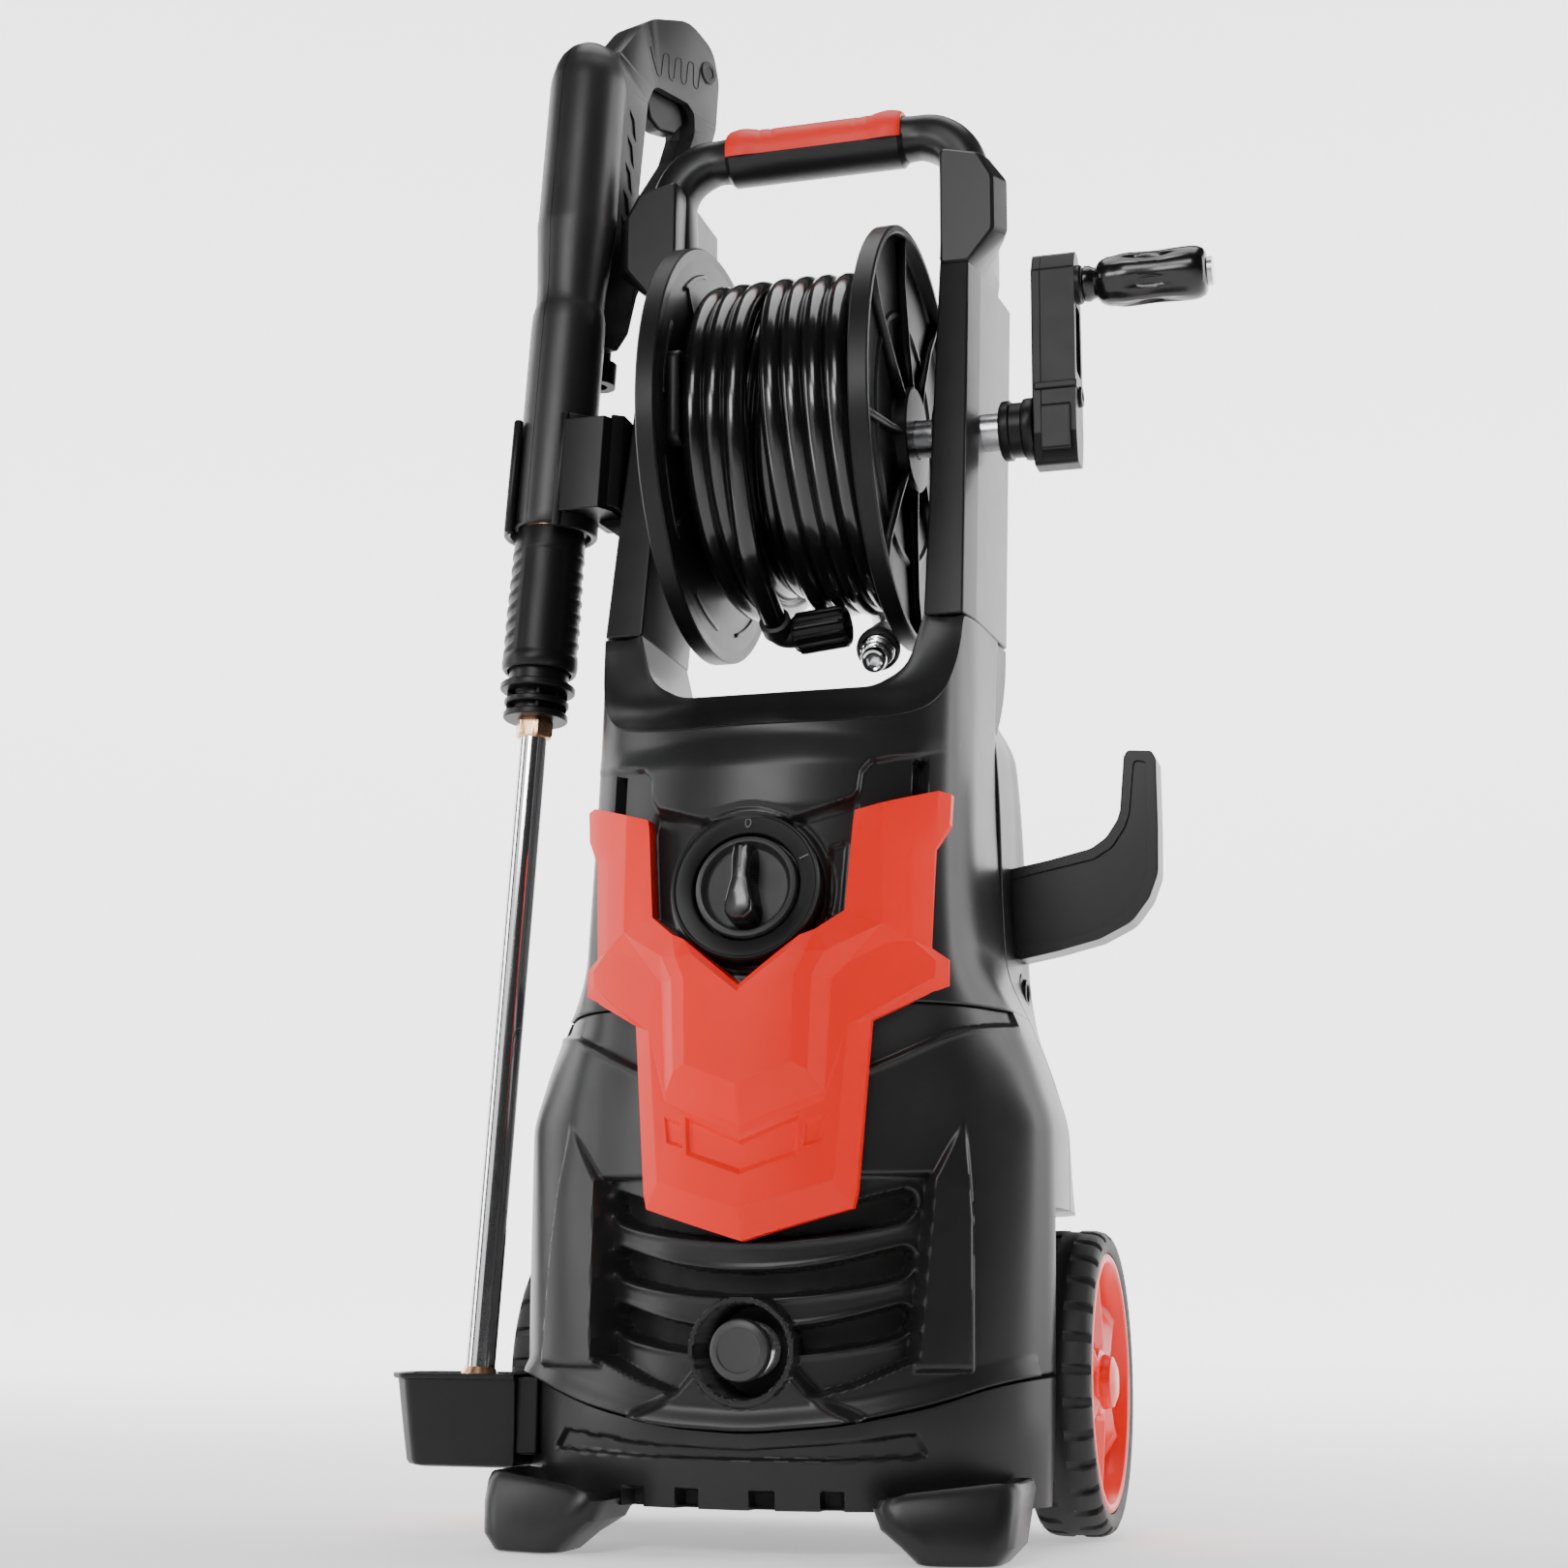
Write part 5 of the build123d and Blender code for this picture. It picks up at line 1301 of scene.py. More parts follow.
# fold joint: cheek, screw post and rib
objs.append(revolve("post", [(0, 175.0), (6.2, 175.0), (6.6, 175.6), (6.6, 177.2), (6.0, 177.9), (3.4, 177.9), (3.0, 176.4), (0, 176.4)], (0, RY, 690), (1, 0, 0), DARK, "reel", n=40))
objs.append(plate("fold_cheek", round_poly([(RY - 17.5, 652), (RY - 12, 652), (RY - 12, 684), (RY - 17.5, 680)], 1.6, 3), [], (163, 0, 0), (0, 1, 0), (0, 0, 1), 9.0, 0.8, DARK, "reel"))
objs.append(plate("fold_rib", round_poly([(RY - 15.5, 692), (RY + 15.5, 692), (RY + 15.5, 697), (RY - 15.5, 697)], 1.2, 3), [], (163, 0, 0), (0, 1, 0), (0, 0, 1), 13.4, 0.8, DARK, "reel"))
for zz in (716, 732, 745):
    objs.append(plate("web", [(RY - 9.5, zz - 1.1), (RY + 9.5, zz - 1.1), (RY + 9.5, zz + 1.1), (RY - 9.5, zz + 1.1)], [], (160, 0, 0), (0, 1, 0), (0, 0, 1), 8.0, 0.4, DARK, "reel"))
objs.append(revolve("collar", [(5.0, 174.0), (12.4, 174.0), (12.4, 178.2), (11.4, 179.4), (5.0, 179.4), (5.0, 174.0)], (0, RY, 765), (1, 0, 0), DARK, "reel", n=56))
arm = join("crank_arm_visual", objs, "reel")
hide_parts("crank_arm")


def grip_rad(r, t, h):
    s = math.exp(-((h - 222) / 15.0) ** 2)
    return r - 2.2 * s * float(sm((math.cos(6 * t) - 0.1) / 0.7)) if r > 12 else r


gp = [(5.0, 180.0), (10.4, 180.0), (11.4, 181.0), (11.4, 184.0), (10.4, 185.6), (9.8, 187.2), (10.2, 188.6), (12.6, 190.2), (14.2, 192.4), (15.4, 196.0)]
gp += [(15.4 + 1.5 * float(sm((x - 196) / 12)) - 0.7 * math.exp(-((x - 225) / 12.0) ** 2), x) for x in np.linspace(198, 246, 26)]
gp += [(16.8, 249), (16.2, 252.4), (14.8, 255.4), (12.6, 257.0), (10.0, 257.6), (5.0, 257.6), (5.0, 180.0)]
cg = revolve("crank_grip_visual", gp, (0, RY, 765), (1, 0, 0), BLACK, "crank_grip", n=96, radial=grip_rad, sharp=35)
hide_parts("crank_grip")

# ------------------------------------------------------------------ gun and lance
LA, LB = np.array([-184.5, -45.0, 91.0]), np.array([-152.5, 5.0, 960.0])
AX = (LB - LA) / np.linalg.norm(LB - LA)
HX = np.array([0.35, 0.937, 0.0])
HX = HX - AX * (HX @ AX)
HX /= np.linalg.norm(HX)
HY = np.cross(AX, HX)


def Wz(z):
    return (z - LA[2]) / AX[2]


def gp3(x, y, z):
    """Machine point from gun coordinates: x towards the loop handle, y across, z the height on the axis."""
    return LA + HX * x + HY * y + AX * Wz(z)


def grev(name, prof, mat, body, n=72, x=0.0, radial=None, sharp=32):
    return revolve(name, [(r, Wz(z)) for r, z in prof], LA + HX * x, AX, mat, body, n=n, ref=HX, radial=radial, sharp=sharp)


def gplate(name, pts, y0, y1, bev, mat, body, holes=(), seg=4):
    P = [(x, Wz(z)) for x, z in pts]
    H = [[(x, Wz(z)) for x, z in h] for h in holes]
    o = LA + HY * (y0 + y1) / 2
    return plate(name, P, H, o, HX, AX, (y1 - y0) / 2, bev, mat, body, seg)


def split_at(o, side, gap=0.12):
    """Keeps the half on one side of the gun's middle plane, closed."""
    me = o.data.copy()
    bm = bmesh.new()
    bm.from_mesh(me)
    no = Vector((-HY * side).tolist())
    co = Vector(m(LA + HY * side * gap).tolist())
    r = bmesh.ops.bisect_plane(bm, geom=bm.verts[:] + bm.edges[:] + bm.faces[:], dist=1e-7, plane_co=co, plane_no=no, clear_outer=True)
    edges = [e for e in bm.edges if e.is_boundary]
    bmesh.ops.triangle_fill(bm, use_beauty=True, use_dissolve=False, edges=edges)
    bmesh.ops.recalc_face_normals(bm, faces=bm.faces)
    bm.to_mesh(me)
    bm.free()
    r = bpy.data.objects.new(o.name + "_half", me)
    bpy.context.scene.collection.objects.link(r)
    return r


def boolean(o, cutter, op="DIFFERENCE"):
    b = o.modifiers.new("bool", "BOOLEAN")
    b.operation = op
    b.object = cutter
    b.solver = "EXACT"
    apply_mods(o)
    bpy.data.objects.remove(cutter, do_unlink=True)


bprof = [(0, 620.3), (9.9, 620.3), (22.0, 620.3), (23.6, 621.2), (24.2, 623.5), (24.5, 628), (24.5, 700), (24.5, 740), (24.4, 762), (24.0, 770), (23.0, 774.6), (22.6, 776), (22.5, 782), (22.7, 789), (24.0, 806), (25.4, 824), (26.2, 832), (26.3, 836), (26.0, 840), (26.0, 890), (26.0, 938), (25.6, 943), (24.6, 948.5), (24.2, 949.6), (23.2, 954.2), (20.6, 960.4), (16.4, 966), (11.5, 969.6), (6.0, 971.5), (0, 972)]
barrel = grev("barrel", bprof, GUN, "gun", n=112, sharp=24)
DO = [(4, 756), (34, 758), (44, 775), (50, 806), (78, 866), (112, 930), (121, 965), (121, 1002), (112, 1024), (84, 1033), (40, 1012), (14, 972), (4, 950)]
DO = round_poly(DO, [2, 5, 12, 30, 60, 40, 24, 22, 20, 30, 40, 20, 2], 6)
DW = round_poly([(50, 862), (66, 884), (92, 930), (98, 952), (96, 966), (88, 970), (52, 966), (46, 950), (44, 880)], [6, 16, 16, 12, 6, 6, 10, 10, 10], 5)
loop = gplate("loop", DO, -13.5, 13.5, 5.5, GUN, "gun", holes=[DW], seg=5)
apply_mods(loop)
boolean(barrel, loop, "UNION")
gun = barrel
# openings: trigger pocket and slanted side slots
cutters = [gplate("c", [(56, 950), (98, 950), (98, 990), (56, 990)], -7.8, 7.8, 0, HOLE_SHADE, "gun")]
for zc in (925, 905, 885, 865, 845):
    for s in (-1, 1):
        lo, hi = (12.2, 15.0) if s > 0 else (-15.0, -12.2)
        cutters.append(gplate("c", [(27.6, zc + 11), (33.5, zc + 5), (37.0, zc - 11), (31.0, zc - 5)], lo, hi, 0, HOLE_SHADE, "gun"))
for c in cutters:
    apply_mods(c)
cj = join("cut", cutters, "gun")
boolean(gun, cj)
bm = bmesh.new()
bm.from_mesh(gun.data)
bmesh.ops.remove_doubles(bm, verts=bm.verts, dist=2e-6)
bm.to_mesh(gun.data)
bm.free()
for s, nm in ((-1, "gun_shell_left"), (1, "gun_shell_right")):
    h = split_at(gun, s, 0.22)
    sharp_by_angle(h, 26)
    extra = [h]
    # raised wave along the upper bar and a thin arc beside the slots
    def thread(pts3, r, mat):
        rings = []
        P = np.array(pts3)
        for k in range(len(P)):
            d = P[min(k + 1, len(P) - 1)] - P[max(k - 1, 0)]
            _, x, y, _ = frame_of(P[k], d, HY)
            rings.append([P[k] + x * r * math.cos(q) + y * r * math.sin(q) for q in np.linspace(0, 2 * math.pi, 9)[:-1]])
        return loft("thread", rings, mat, "gun")
    wave = []
    for k in range(4):
        x0 = 52 + 13.5 * k
        b = 978 + 3.6 * k
        wave += [(x0, b), (x0 + 1.2, b - 2.6), (x0 + 4.0, b - 3.2), (x0 + 5.6, b - 1.0), (x0 + 6.4, b + 14), (x0 + 7.6, b + 17), (x0 + 11.0, b + 18), (x0 + 12.6, b + 15.5)]
    wave = [(44, 992), (48, 984)] + wave + [(106, 995), (108, 1010)]
    extra.append(thread([gp3(x, s * 13.2, z) for x, z in wave], 0.75, DARK))
    extra.append(thread([gp3(x, s * 13.2, z) for x, z in ((40, 856), (43, 846), (47.5, 836), (49, 822), (46, 800), (42, 786))], 0.6, DARK))
    boss = revolve("boss", [(0, 12.8), (8.4, 12.8), (8.4, 13.9), (7.6, 14.5), (5.0, 14.5), (4.2, 13.9), (0, 13.9)], gp3(108, 0, 1004), HY * s, DARK, "gun", n=40)
    extra.append(boss)
    hh = join(nm + "_visual", extra, "gun")
    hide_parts(nm)
bpy.data.objects.remove(gun, do_unlink=True)

trg = gplate("trigger_visual", round_poly([(50, 982), (60, 985), (90, 968), (94, 957), (86, 947), (68, 942), (57, 946), (50, 962)], [4, 3, 5, 4, 6, 10, 6, 6], 4), -6.4, 6.4, 2.2, DARK, "trigger")
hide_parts("trigger")

# sleeve: smooth face in front, slanting ribs on both flanks
front_t = math.atan2(float(np.dot(np.cross(AX, HX), np.array([0.30, -0.95, 0.0]))), float(np.dot(HX, np.array([0.30, -0.95, 0.0]))))


def sleeve_r(r, t, h):
    z = LA[2] + h * AX[2]
    if r < 22.0 or z > 604 or z < 533:
        return r
    side = float(sm((abs(math.sin(t - front_t)) - 0.60) / 0.22))
    w = math.cos(2 * math.pi * (z / 9.4 + 0.28 * math.copysign(1, math.sin(t - front_t)) * math.cos(t - front_t) * 1.6))
    return r + side * (0.9 * float(sm((w + 0.1) / 0.8)) - 0.6) - 0.35 * float(sm((0.60 - abs(math.sin(t - front_t))) / 0.1))


sp_ = [(20.6, 525.4), (22.4, 525.2), (23.7, 526.8), (24.2, 530.5), (24.1, 534)] + [(23.6 - 0.7 * float(sm((z - 560) / 40)), z) for z in np.arange(535.5, 604, 1.0)] + [(22.9, 604.5), (22.7, 606.0), (22.7, 611.0), (22.4, 612.4), (22.2, 617.4), (21.6, 619.2), (20.6, 619.2), (20.6, 525.4)]
slv = grev("lance_sleeve_visual", sp_, DARK, "lance_sleeve", n=160, radial=sleeve_r, sharp=45)
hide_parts("lance_sleeve")

spp = [(9.1, 494.2), (19.6, 494.2), (20.5, 495.0), (20.5, 497.8), (19.8, 498.5), (15.0, 498.9), (14.5, 499.4), (14.5, 502.6), (15.0, 503.1), (19.8, 503.3), (20.5, 504.0), (20.5, 506.3), (19.8, 507.0), (15.0, 507.4), (14.5, 507.9), (14.5, 511.6), (15.0, 512.2), (23.0, 512.6), (23.8, 513.4), (23.8, 516.2), (23.0, 517.0), (19.4, 517.4), (19.0, 518.0), (19.0, 540.0), (9.9, 540.0), (9.9, 600.0), (9.3, 600.0), (9.1, 515.0), (9.1, 494.2)]
objs = [grev("spool", spp, DARK, "lance", n=96)]
for k in range(4):
    a = front_t + 0.12 + k * math.pi / 2
    c, s = math.cos(a), math.sin(a)
    for z0, z1, r in ((498.0, 504.0, 19.0), (506.5, 513.0, 19.0)):
        rings = []
        for z in (z0, z1):
            rings.append([LA + HX * (q * c - w * s) + HY * (q * s + w * c) + AX * Wz(z) for q, w in ((13.5, -1.3), (r, -1.3), (r, 1.3), (13.5, 1.3))])
        objs.append(loft("web", rings, DARK, "lance"))
sp2 = join("lance_spool_visual", objs, "lance")
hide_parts("lance_spool")


def hexr(r, t, h):
    if r < 9.6:
        return r
    a = (t + math.radians(8)) % (math.pi / 3) - math.pi / 6
    return min(r, 10.6 / math.cos(a))


nut = grev("lance_nut_visual", [(9.05, 482.6), (9.8, 482.2), (10.8, 482.8), (12.3, 484.2), (12.3, 492.4), (11.2, 494.0), (9.05, 494.0), (9.05, 482.6)], BRASS, "lance", n=180, radial=hexr, sharp=20)
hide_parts("lance_nut")
ltube = grev("lance_tube_visual", [(7.0, 78.4), (8.6, 78.4), (9.0, 79.0), (9.0, 514.6), (7.0, 514.6), (7.0, 78.4)], CHROME, "lance", n=96)
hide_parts("lance_tube")

# ------------------------------------------------------------------ clip on the left upright
objs = []
CZ0, CZ1 = 616.5, 694.0


def ax_at(z):
    return LA + AX * Wz(z)


def clip_arc(a0, a1, ri, ro, n=30, z0=CZ0, z1=CZ1):
    rings = []
    for a in np.linspace(a0, a1, n):
        c, s = math.cos(math.radians(a)), math.sin(math.radians(a))
        ring = []
        for r, z in ((ri, z0 + 1.2), (ri + 0.8, z0), (ro - 1.0, z0), (ro, z0 + 1.2), (ro, z1 - 1.2), (ro - 1.0, z1), (ri + 0.8, z1), (ri, z1 - 1.2)):
            p = ax_at(z)
            ring.append((p[0] + r * c, p[1] + r * s, z))
        rings.append(ring)
    return loft("clip_arc", rings, DARK)


objs.append(clip_arc(-62, 222, 25.8, 30.2, 60))
for a in (222, -62):
    for r in (28.6,):
        prof = []
        c, s = math.cos(math.radians(a)), math.sin(math.radians(a))
        p0, p1 = ax_at(CZ0), ax_at(CZ1)
        rings = []
        for p, z, k in ((p0, CZ0 + 0.3, 0.75), (p0, CZ0 + 1.4, 1.0), (p1, CZ1 - 1.4, 1.0), (p1, CZ1 - 0.3, 0.75)):
            rings.append([(p[0] + r * c + 3.1 * k * math.cos(q), p[1] + r * s + 3.1 * k * math.sin(q), z) for q in np.linspace(0, 2 * math.pi, 17)[:-1]])
        objs.append(loft("clip_lip", rings, DARK))
# box shaped jaw in front, run back to the upright
for P, z0, z1, bv in (([(-150.5, -41.0), (-122.0, -41.0), (-116.0, -30.0), (-116.0, 14.0), (-135.0, 14.0), (-136.6, -4), (-137.6, -22), (-146.0, -36.0)], 626.0, 688.0, 1.4),
                      ([(-120.0, -36.0), (-112.2, -30.0), (-112.2, 22.0), (-120.0, 22.0)], 628.5, 690.5, 1.0)):
    rings = []
    zs_ = (z0, z0 + 0.8, z1 - 0.8, z1)
    for z, ins in zip(zs_, (0.8, 0, 0, 0.8)):
        lean_x = (z - 655) * 0.037
        cen = np.mean(np.array(P), axis=0)
        q = round_poly([(cen[0] + (x - cen[0]) * (1 - ins / 30) + lean_x, cen[1] + (y - cen[1]) * (1 - ins / 30) + lean_x) for x, y in P], 1.6, 3)
        rings.append([(p[0], p[1], z) for p in q])
    b = loft("jaw", rings, DARK)
    sharp_by_angle(b, 25)
    objs.append(b)
objs.append(plate("jaw_brace", round_poly([(-134, 0), (-112, 0), (-112, -12), (-118, -12)], 1.5, 3), [], (0, -14, 626), (1, 0, 0), (0, 0, 1), 2.0, 0.6, DARK))
clip = join("lance_clip_visual", objs)
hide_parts("lance_clip")

# ------------------------------------------------------------------ lance cup
def cup_pts(t, ins=0.0):
    lo = [(-150, -72), (-213, -72), (-223, -60), (-223, -38), (-213, -27), (-150, -27)]
    hi = [(-150, -75), (-219, -75), (-230, -62), (-230, -38), (-219, -27), (-150, -27)]
    P = [(a[0] + (b[0] - a[0]) * t, a[1] + (b[1] - a[1]) * t) for a, b in zip(lo, hi)]
    cx, cy = -188.0, -50.0
    P = [(x + (ins if x < cx else -ins), y + (ins if y < cy else -ins)) for x, y in P]
    return round_poly(P, [1, 8, 8, 8, 8, 1], 5)


rings = []
for z, ins in ((41.6, 2.0), (40.0, 4.5), (40.4, 2.6), (41.2, 1.0), (43, 0.2), (60, 0.0), (88.6, 0.0), (89.4, 0.0), (89.8, -1.5), (90.6, -2.0), (92.4, -2.0), (93.0, -1.4), (93.0, 0.4), (92.6, 1.2), (91.0, 1.6), (70, 2.4), (46, 3.4), (44.2, 5.0)):
    t = (z - 40) / 53.0
    rings.append([(min(p[0], -150.0 if z > 39 else -150), p[1], z) for p in cup_pts(t, ins)])
rings = rings[1:]
cup = loft("cup", rings, DARK)
sharp_by_angle(cup, 28)
tie = plate("cup_tie", round_poly([(-160, 48), (-137.5, 48), (-137.5, 91), (-160, 91)], 1.5, 3), [], (0, -52, 0), (1, 0, 0), (0, 0, 1), 18.0, 1.2, DARK)
cup = join("lance_cup_visual", [cup, tie])
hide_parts("lance_cup")

# ------------------------------------------------------------------ cord hook: an L of two flanged limbs
HK = [(117.0, 343), (127, 341.5), (150, 346), (176, 352.5), (196, 362.5), (207, 377), (212.6, 392), (213.2, 420), (213.0, 463), (210.5, 468.6), (195.5, 469.8), (193.0, 466.0), (190.0, 432), (188.0, 426), (181.0, 415.5), (171.5, 409), (146, 403), (117.0, 397.5)]
HKr = round_poly(HK, [1, 2, 20, 20, 20, 16, 20, 20, 5, 3, 3, 3, 10, 8, 12, 14, 20, 1], 4)
hk1 = plate("hook_core", HKr, [], (0, 60, 0), (1, 0, 0), (0, 0, 1), 12.4, 1.8, CHARCOAL)
# rim on both faces
inner = [(117.0, 350), (150, 352), (174, 358), (192, 368), (201.5, 380), (206.3, 394), (207, 462.0), (199.0, 463.4), (195.6, 430), (192.5, 421.5), (184.5, 409.5), (173.0, 402.5), (146, 396.8), (117.0, 391.0)]
inner = round_poly(inner, [1, 16, 16, 16, 14, 14, 3, 3, 10, 8, 10, 12, 16, 1], 4)
hk = [hk1]
for s in (-1, 1):
    c = plate("c", inner, [], (0, 60 + s * 13.6, 0), (1, 0, 0), (0, 0, 1), 3.0, 0, CHARCOAL)
    apply_mods(c)
    apply_mods(hk1)
    boolean(hk1, c)
bevel(hk1, 0.8, 3, 35)
hook = join("cord_hook_visual", [hk1])
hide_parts("cord_hook")

# gland
gl = revolve("cable_gland_visual", [(5.2, -4.0), (12.6, -4.0), (12.9, 2.6), (12.0, 4.4), (9.0, 5.2), (8.4, 7.4), (6.8, 7.8), (5.4, 7.2), (5.2, 6.0), (5.2, -4.0)], (121.5, 60, 322), (1, 0, 0), DARK, n=56)
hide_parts("cable_gland")

# ------------------------------------------------------------------ rotary switch
ln = math.radians(8.0)
KN = np.array([0, -math.cos(ln), math.sin(ln)])
KU = np.array([0, math.sin(ln), math.cos(ln)])
KC = np.array([0.0, -116.0, 365.0])
bez = revolve("bezel", [(12.0, -15.5), (43.6, -15.5), (43.6, -2.0), (44.0, 1.0), (43.8, 3.0), (42.9, 4.2), (42.0, 4.4), (41.2, 3.6), (33.2, 2.2), (32.2, 1.6), (31.6, 0.4), (31.2, -8.0), (30.8, -11.6), (12.0, -11.6), (12.0, -15.5)], KC, KN, DARK, n=144, ref=KU, sharp=26)


def raised(name, boxes, h, mat, R=None):
    """Small raised marks on the bezel face: boxes in (across, up) mm, each a polygon."""
    out = []
    for P in boxes:
        o = plate(name, P, [], KC + KN * (h), np.array([1.0, 0, 0]), KU, 0.4, 0.12, mat)
        out.append(o)
    return out


marks = []
# 0 and I marks on the bezel
a0 = math.radians(90)
r0 = 37.6
ringo = []
for q in np.linspace(0, 2 * math.pi, 25)[:-1]:
    ringo.append((r0 * math.cos(a0) + 2.0 * math.cos(q), r0 * math.sin(a0) + 3.0 * math.sin(q)))
ringi = []
for q in np.linspace(0, 2 * math.pi, 25)[:-1]:
    ringi.append((r0 * math.cos(a0) + 1.15 * math.cos(q), r0 * math.sin(a0) + 2.1 * math.sin(q)))
marks.append(plate("mark0", ringo, [ringi], KC + KN * 3.0, np.array([1.0, 0, 0]), KU, 0.45, 0.1, GREY))
a1 = math.radians(25)
e1, e2 = np.array([math.cos(a1), math.sin(a1)]), np.array([-math.sin(a1), math.cos(a1)])
marks.append(plate("mark1", [tuple(e1 * (r0 + s1) + e2 * s2) for s1, s2 in ((-3, -0.5), (3, -0.5), (3, 0.5), (-3, 0.5))], [], KC + KN * 3.0, np.array([1.0, 0, 0]), KU, 0.45, 0.1, GREY))
bez = join("switch_bezel_visual", [bez] + marks)
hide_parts("switch_bezel")
kn = revolve("knob", [(0, -11.2), (30.2, -11.2), (30.4, -6.0), (30.2, 1.0), (29.4, 2.6), (27.8, 3.2), (26.6, 2.9), (25.6, 1.4), (24.4, -1.5), (22.8, -2.6), (0, -2.8)], KC, KN, GREY, "switch_knob", n=144, ref=KU, sharp=26)
core = revolve("knob_core", [(0, -2.9), (24.0, -2.9), (24.0, -2.2), (0, -2.0)], KC, KN, DARK, "switch_knob", n=96, ref=KU)
rings = []
for h, k in ((-3.5, 1.06), (0.0, 1.04), (10.0, 0.98), (13.6, 0.93), (15.2, 0.84), (15.8, 0.66)):
    bar = round_poly([(-4.6, 23.4), (4.6, 23.4), (6.0, 14), (5.6, 2), (9.0, -13), (8.8, -19.5), (4.0, -23.6), (-4.0, -23.6), (-8.8, -19.5), (-9.0, -13), (-5.6, 2), (-6.0, 14)], [3, 3, 8, 10, 8, 5, 4, 4, 5, 8, 10, 8], 4)
    rings.append([KC + KN * h + np.array([1.0, 0, 0]) * (x * k) + KU * (u * (0.5 + 0.5 * k)) for x, u in bar])
barm = loft("bar", rings, BLACK, "switch_knob")
sharp_by_angle(barm, 35)
stem = revolve("stem", [(0, -25), (5.0, -25), (5.0, -10), (0, -10)], KC, KN, DARK, "switch_knob", n=32)
lineb = plate("pointer", [(-0.7, 8), (0.7, 8), (0.7, 20), (-0.7, 20)], [], KC + KN * 15.75, np.array([1.0, 0, 0]), KU, 0.3, 0.1, GREY, "switch_knob")
knob = join("switch_knob_visual", [kn, core, barm, stem, lineb], "switch_knob")
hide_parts("switch_knob")

# ------------------------------------------------------------------ water inlet
IC = np.array([0.0, 0.0, 108.5])
th = [(8.0, 40), (11.0, 40), (11.0, 84), (15.4, 91), (15.4, 94.4), (14.3, 95.0)]
y = 95.6
while y < 112.6:
    th += [(14.3, y), (15.6, y + 0.7), (15.6, y + 1.2), (14.3, y + 1.9)]
    y += 2.5
th += [(14.3, 114.4), (13.6, 115.0), (8.0, 115.0), (8.0, 40)]
ift = revolve("inlet_fitting_visual", th, IC, (0, -1, 0), CHROME, n=96, sharp=28)
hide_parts("inlet_fitting")
cap = revolve("inlet_cap_visual", [(0, 101.5), (7.6, 101.5), (7.6, 115.6), (15.2, 115.6), (16.6, 116.4), (17.0, 118.0), (17.0, 122.6), (16.2, 124.6), (14.4, 125.5), (12.4, 125.7), (11.6, 125.1), (0, 124.6)], IC, (0, -1, 0), GREY, "inlet_cap", n=96, sharp=30)
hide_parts("inlet_cap")

# ------------------------------------------------------------------ materials of the pieces kept as they are
KEEP = {
    "axle": STEEL, "axle_washers": STEEL, "reel_drum": DARK, "reel_shaft": STEEL, "reel_bushes": GREY, "crank_spindle": STEEL,
    "gun_valve": BRASS, "gun_inlet_connector": DARK, "gun_screws": STEEL, "nozzle_tip": BRASS, "switch_box": GREY,
    "motor_can": ALU, "motor_rotor": STEEL, "cooling_fan": GREY, "wobble_plate": STEEL, "pump_head": ALU, "pump_pistons": STEEL,
    "pressure_pipe": BOOT, "cover_screws": STEEL,
}
for nm, mt in KEEP.items():
    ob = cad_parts[nm]
    ob.data.materials.clear()
    ob.data.materials.append(mt)

# ------------------------------------------------------------------ stage and light
GLOW_NEAR, GLOW_FAR = 0.0, 2.4


def stage_surface():
    """A floor that sweeps up into a wall all round."""
    prof = [(0.0, 0.0)] + [(1.2 * k, 0.0) for k in range(1, 6)] + [(6.0 + 3.0 * math.sin(q), 3.0 - 3.0 * math.cos(q)) for q in np.linspace(0.08, math.pi / 2, 20)] + [(9.0, 7.0)]
    n = 72
    verts, faces = [(0.0, 0.0, -0.0006)], []
    for r, z in prof[1:]:
        for i in range(n):
            a = 2 * math.pi * i / n
            verts.append((r * math.cos(a), r * math.sin(a), (z if math.sin(a) > -0.05 else 0.0) - 0.0006))
    for i in range(n):
        faces.append((0, 1 + i, 1 + (i + 1) % n))
    for j in range(len(prof) - 2):
        for i in range(n):
            a, b = 1 + j * n + i, 1 + j * n + (i + 1) % n
            faces.append((a, a + n, b + n, b))
    o = new_mesh("backdrop", verts, faces, STAGE, body=None, mm=False)
    return o


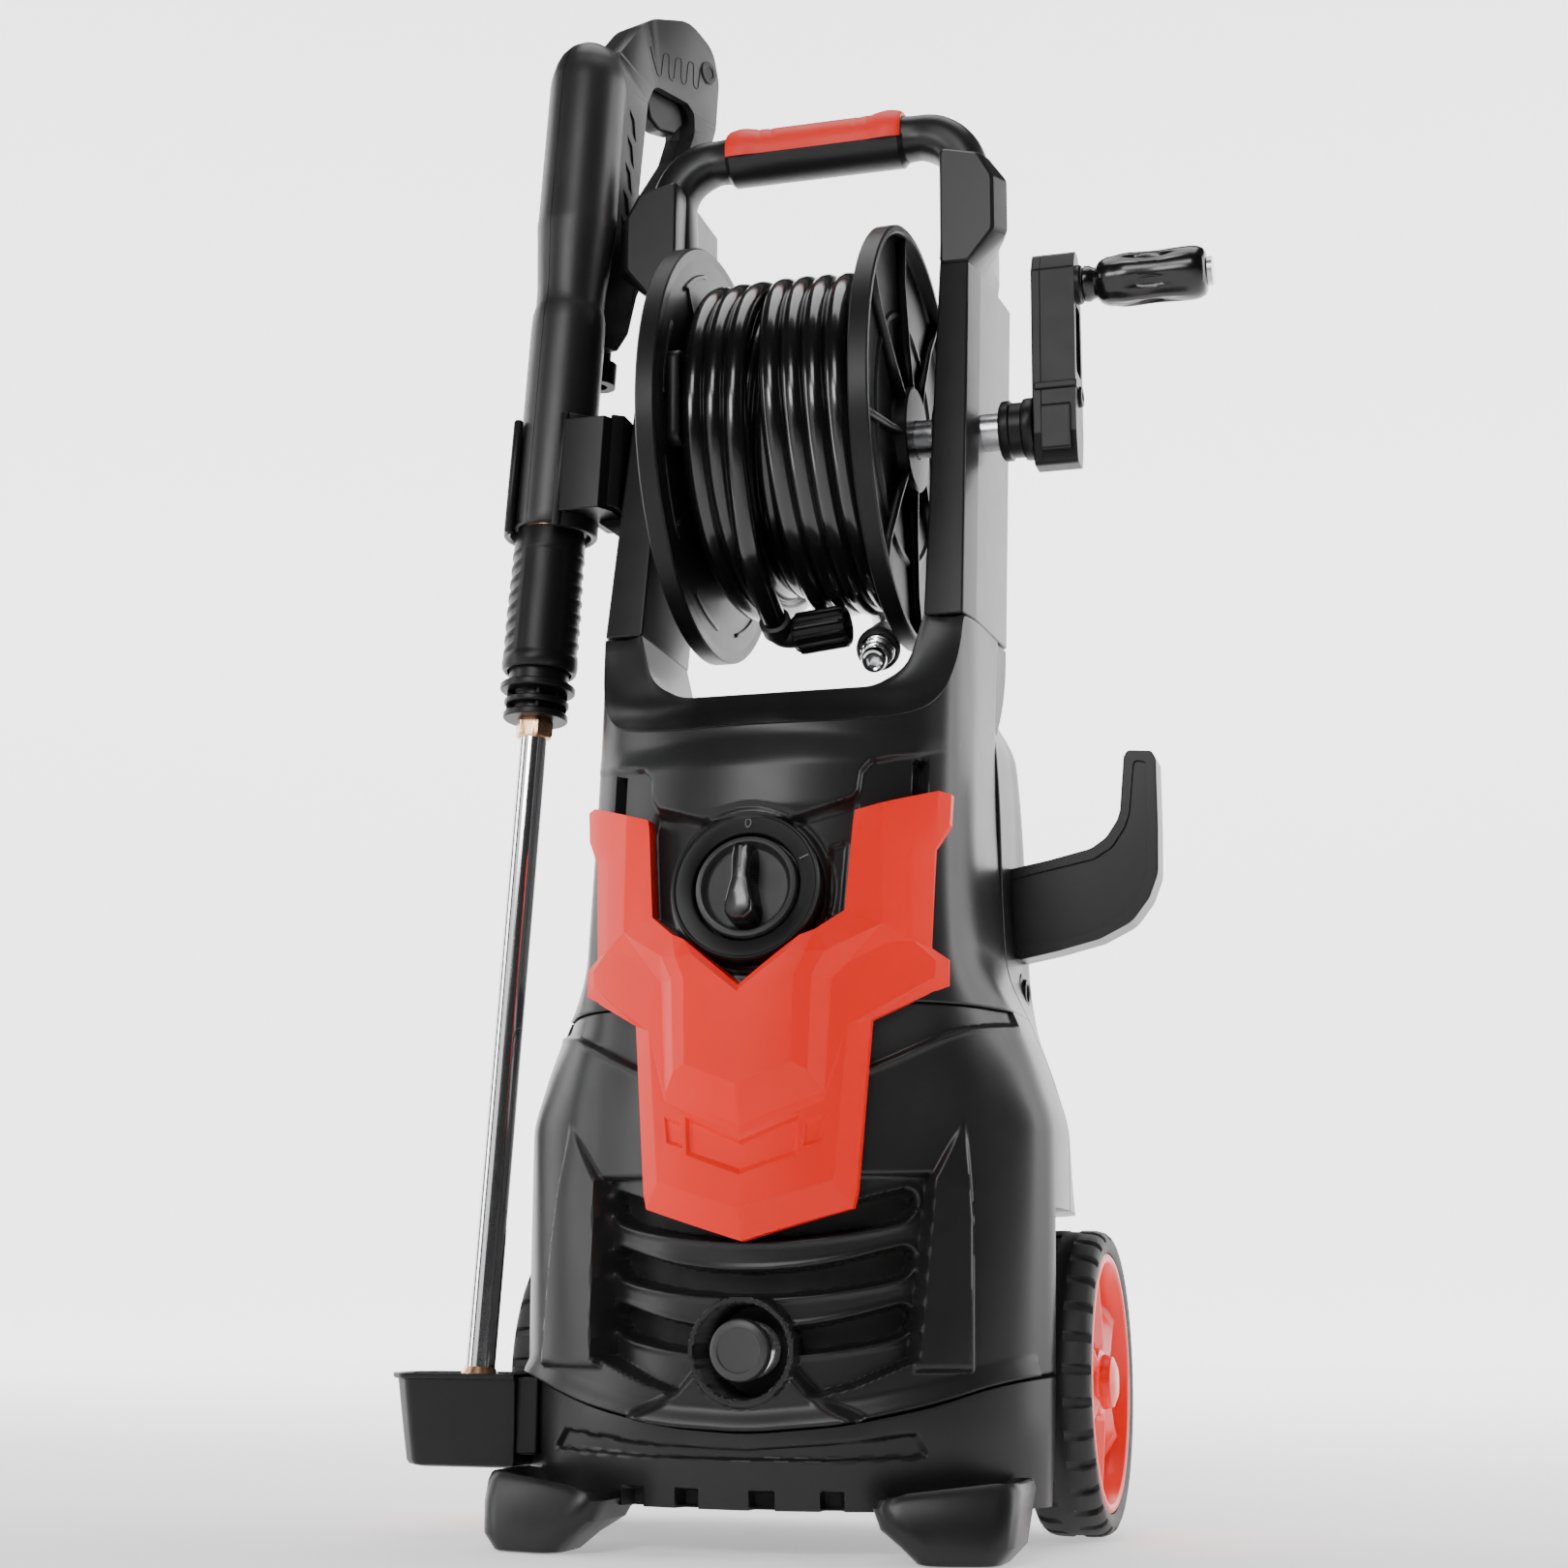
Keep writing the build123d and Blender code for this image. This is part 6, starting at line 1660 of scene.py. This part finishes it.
STAGE = bpy.data.materials.new("glowing_backdrop")
STAGE.use_nodes = True
_nt = STAGE.node_tree
_b = _nt.nodes["Principled BSDF"]
_n = _nt.nodes.new("ShaderNodeTexNoise")
_n.inputs["Scale"].default_value = 3.0
_r = _nt.nodes.new("ShaderNodeValToRGB")
_r.color_ramp.elements[0].color = (0.88, 0.88, 0.88, 1)
_r.color_ramp.elements[1].color = (0.90, 0.90, 0.90, 1)
_nt.links.new(_n.outputs["Fac"], _r.inputs["Fac"])
_nt.links.new(_r.outputs["Color"], _b.inputs["Base Color"])
_b.inputs["Roughness"].default_value = 0.9
_b.inputs["Specular IOR Level"].default_value = 0.1
_tc = _nt.nodes.new("ShaderNodeTexCoord")
_vm = _nt.nodes.new("ShaderNodeSeparateXYZ")
_nt.links.new(_tc.outputs["Object"], _vm.inputs[0])
# painted light: the backdrop glows white, from no glow at the front of the floor to strong glow on the wall at the back
_mr = _nt.nodes.new("ShaderNodeMapRange")
_mr.interpolation_type = "SMOOTHERSTEP"
_mr.inputs["From Min"].default_value = -1.7
_mr.inputs["From Max"].default_value = 3.2
_mr.inputs["To Min"].default_value = GLOW_NEAR
_mr.inputs["To Max"].default_value = GLOW_FAR
_nt.links.new(_vm.outputs["Y"], _mr.inputs["Value"])
_b.inputs["Emission Color"].default_value = (1, 1, 1, 1)
_nt.links.new(_mr.outputs["Result"], _b.inputs["Emission Strength"])
stage_surface()


def area(name, loc, target, size, power, sy=None):
    ld = bpy.data.lights.new(name, "AREA")
    ld.energy = power
    ld.shape = "RECTANGLE"
    ld.size = size
    ld.size_y = sy or size
    o = bpy.data.objects.new(name, ld)
    o.location = loc
    o.rotation_euler = (Vector(target) - Vector(loc)).to_track_quat("-Z", "Y").to_euler()
    bpy.context.scene.collection.objects.link(o)
    return o


area("strip_left", (-1.65, -0.75, 0.75), (0, 0, 0.5), 0.45, 12, 1.5)
area("strip_right", (1.7, 0.35, 0.95), (0.1, 0, 0.5), 0.30, 10, 1.9)
area("front_soft", (0.1, -2.3, 2.0), (0, 0, 0.5), 0.9, 15, 0.6)
area("front_window", (-0.42, -2.0, 1.22), (0, 0, 0.45), 0.75, 14, 0.42)
area("panel_left", (-1.15, -2.1, 0.75), (0, 0, 0.45), 1.3, 6, 1.5)
area("top_soft", (0.0, 0.2, 2.9), (0, 0, 0.5), 1.6, 26)
world = bpy.data.worlds.new("studio")
bpy.context.scene.world = world
world.use_nodes = True
world.node_tree.nodes["Background"].inputs["Color"].default_value = (1, 1, 1, 1)
world.node_tree.nodes["Background"].inputs["Strength"].default_value = 0.03
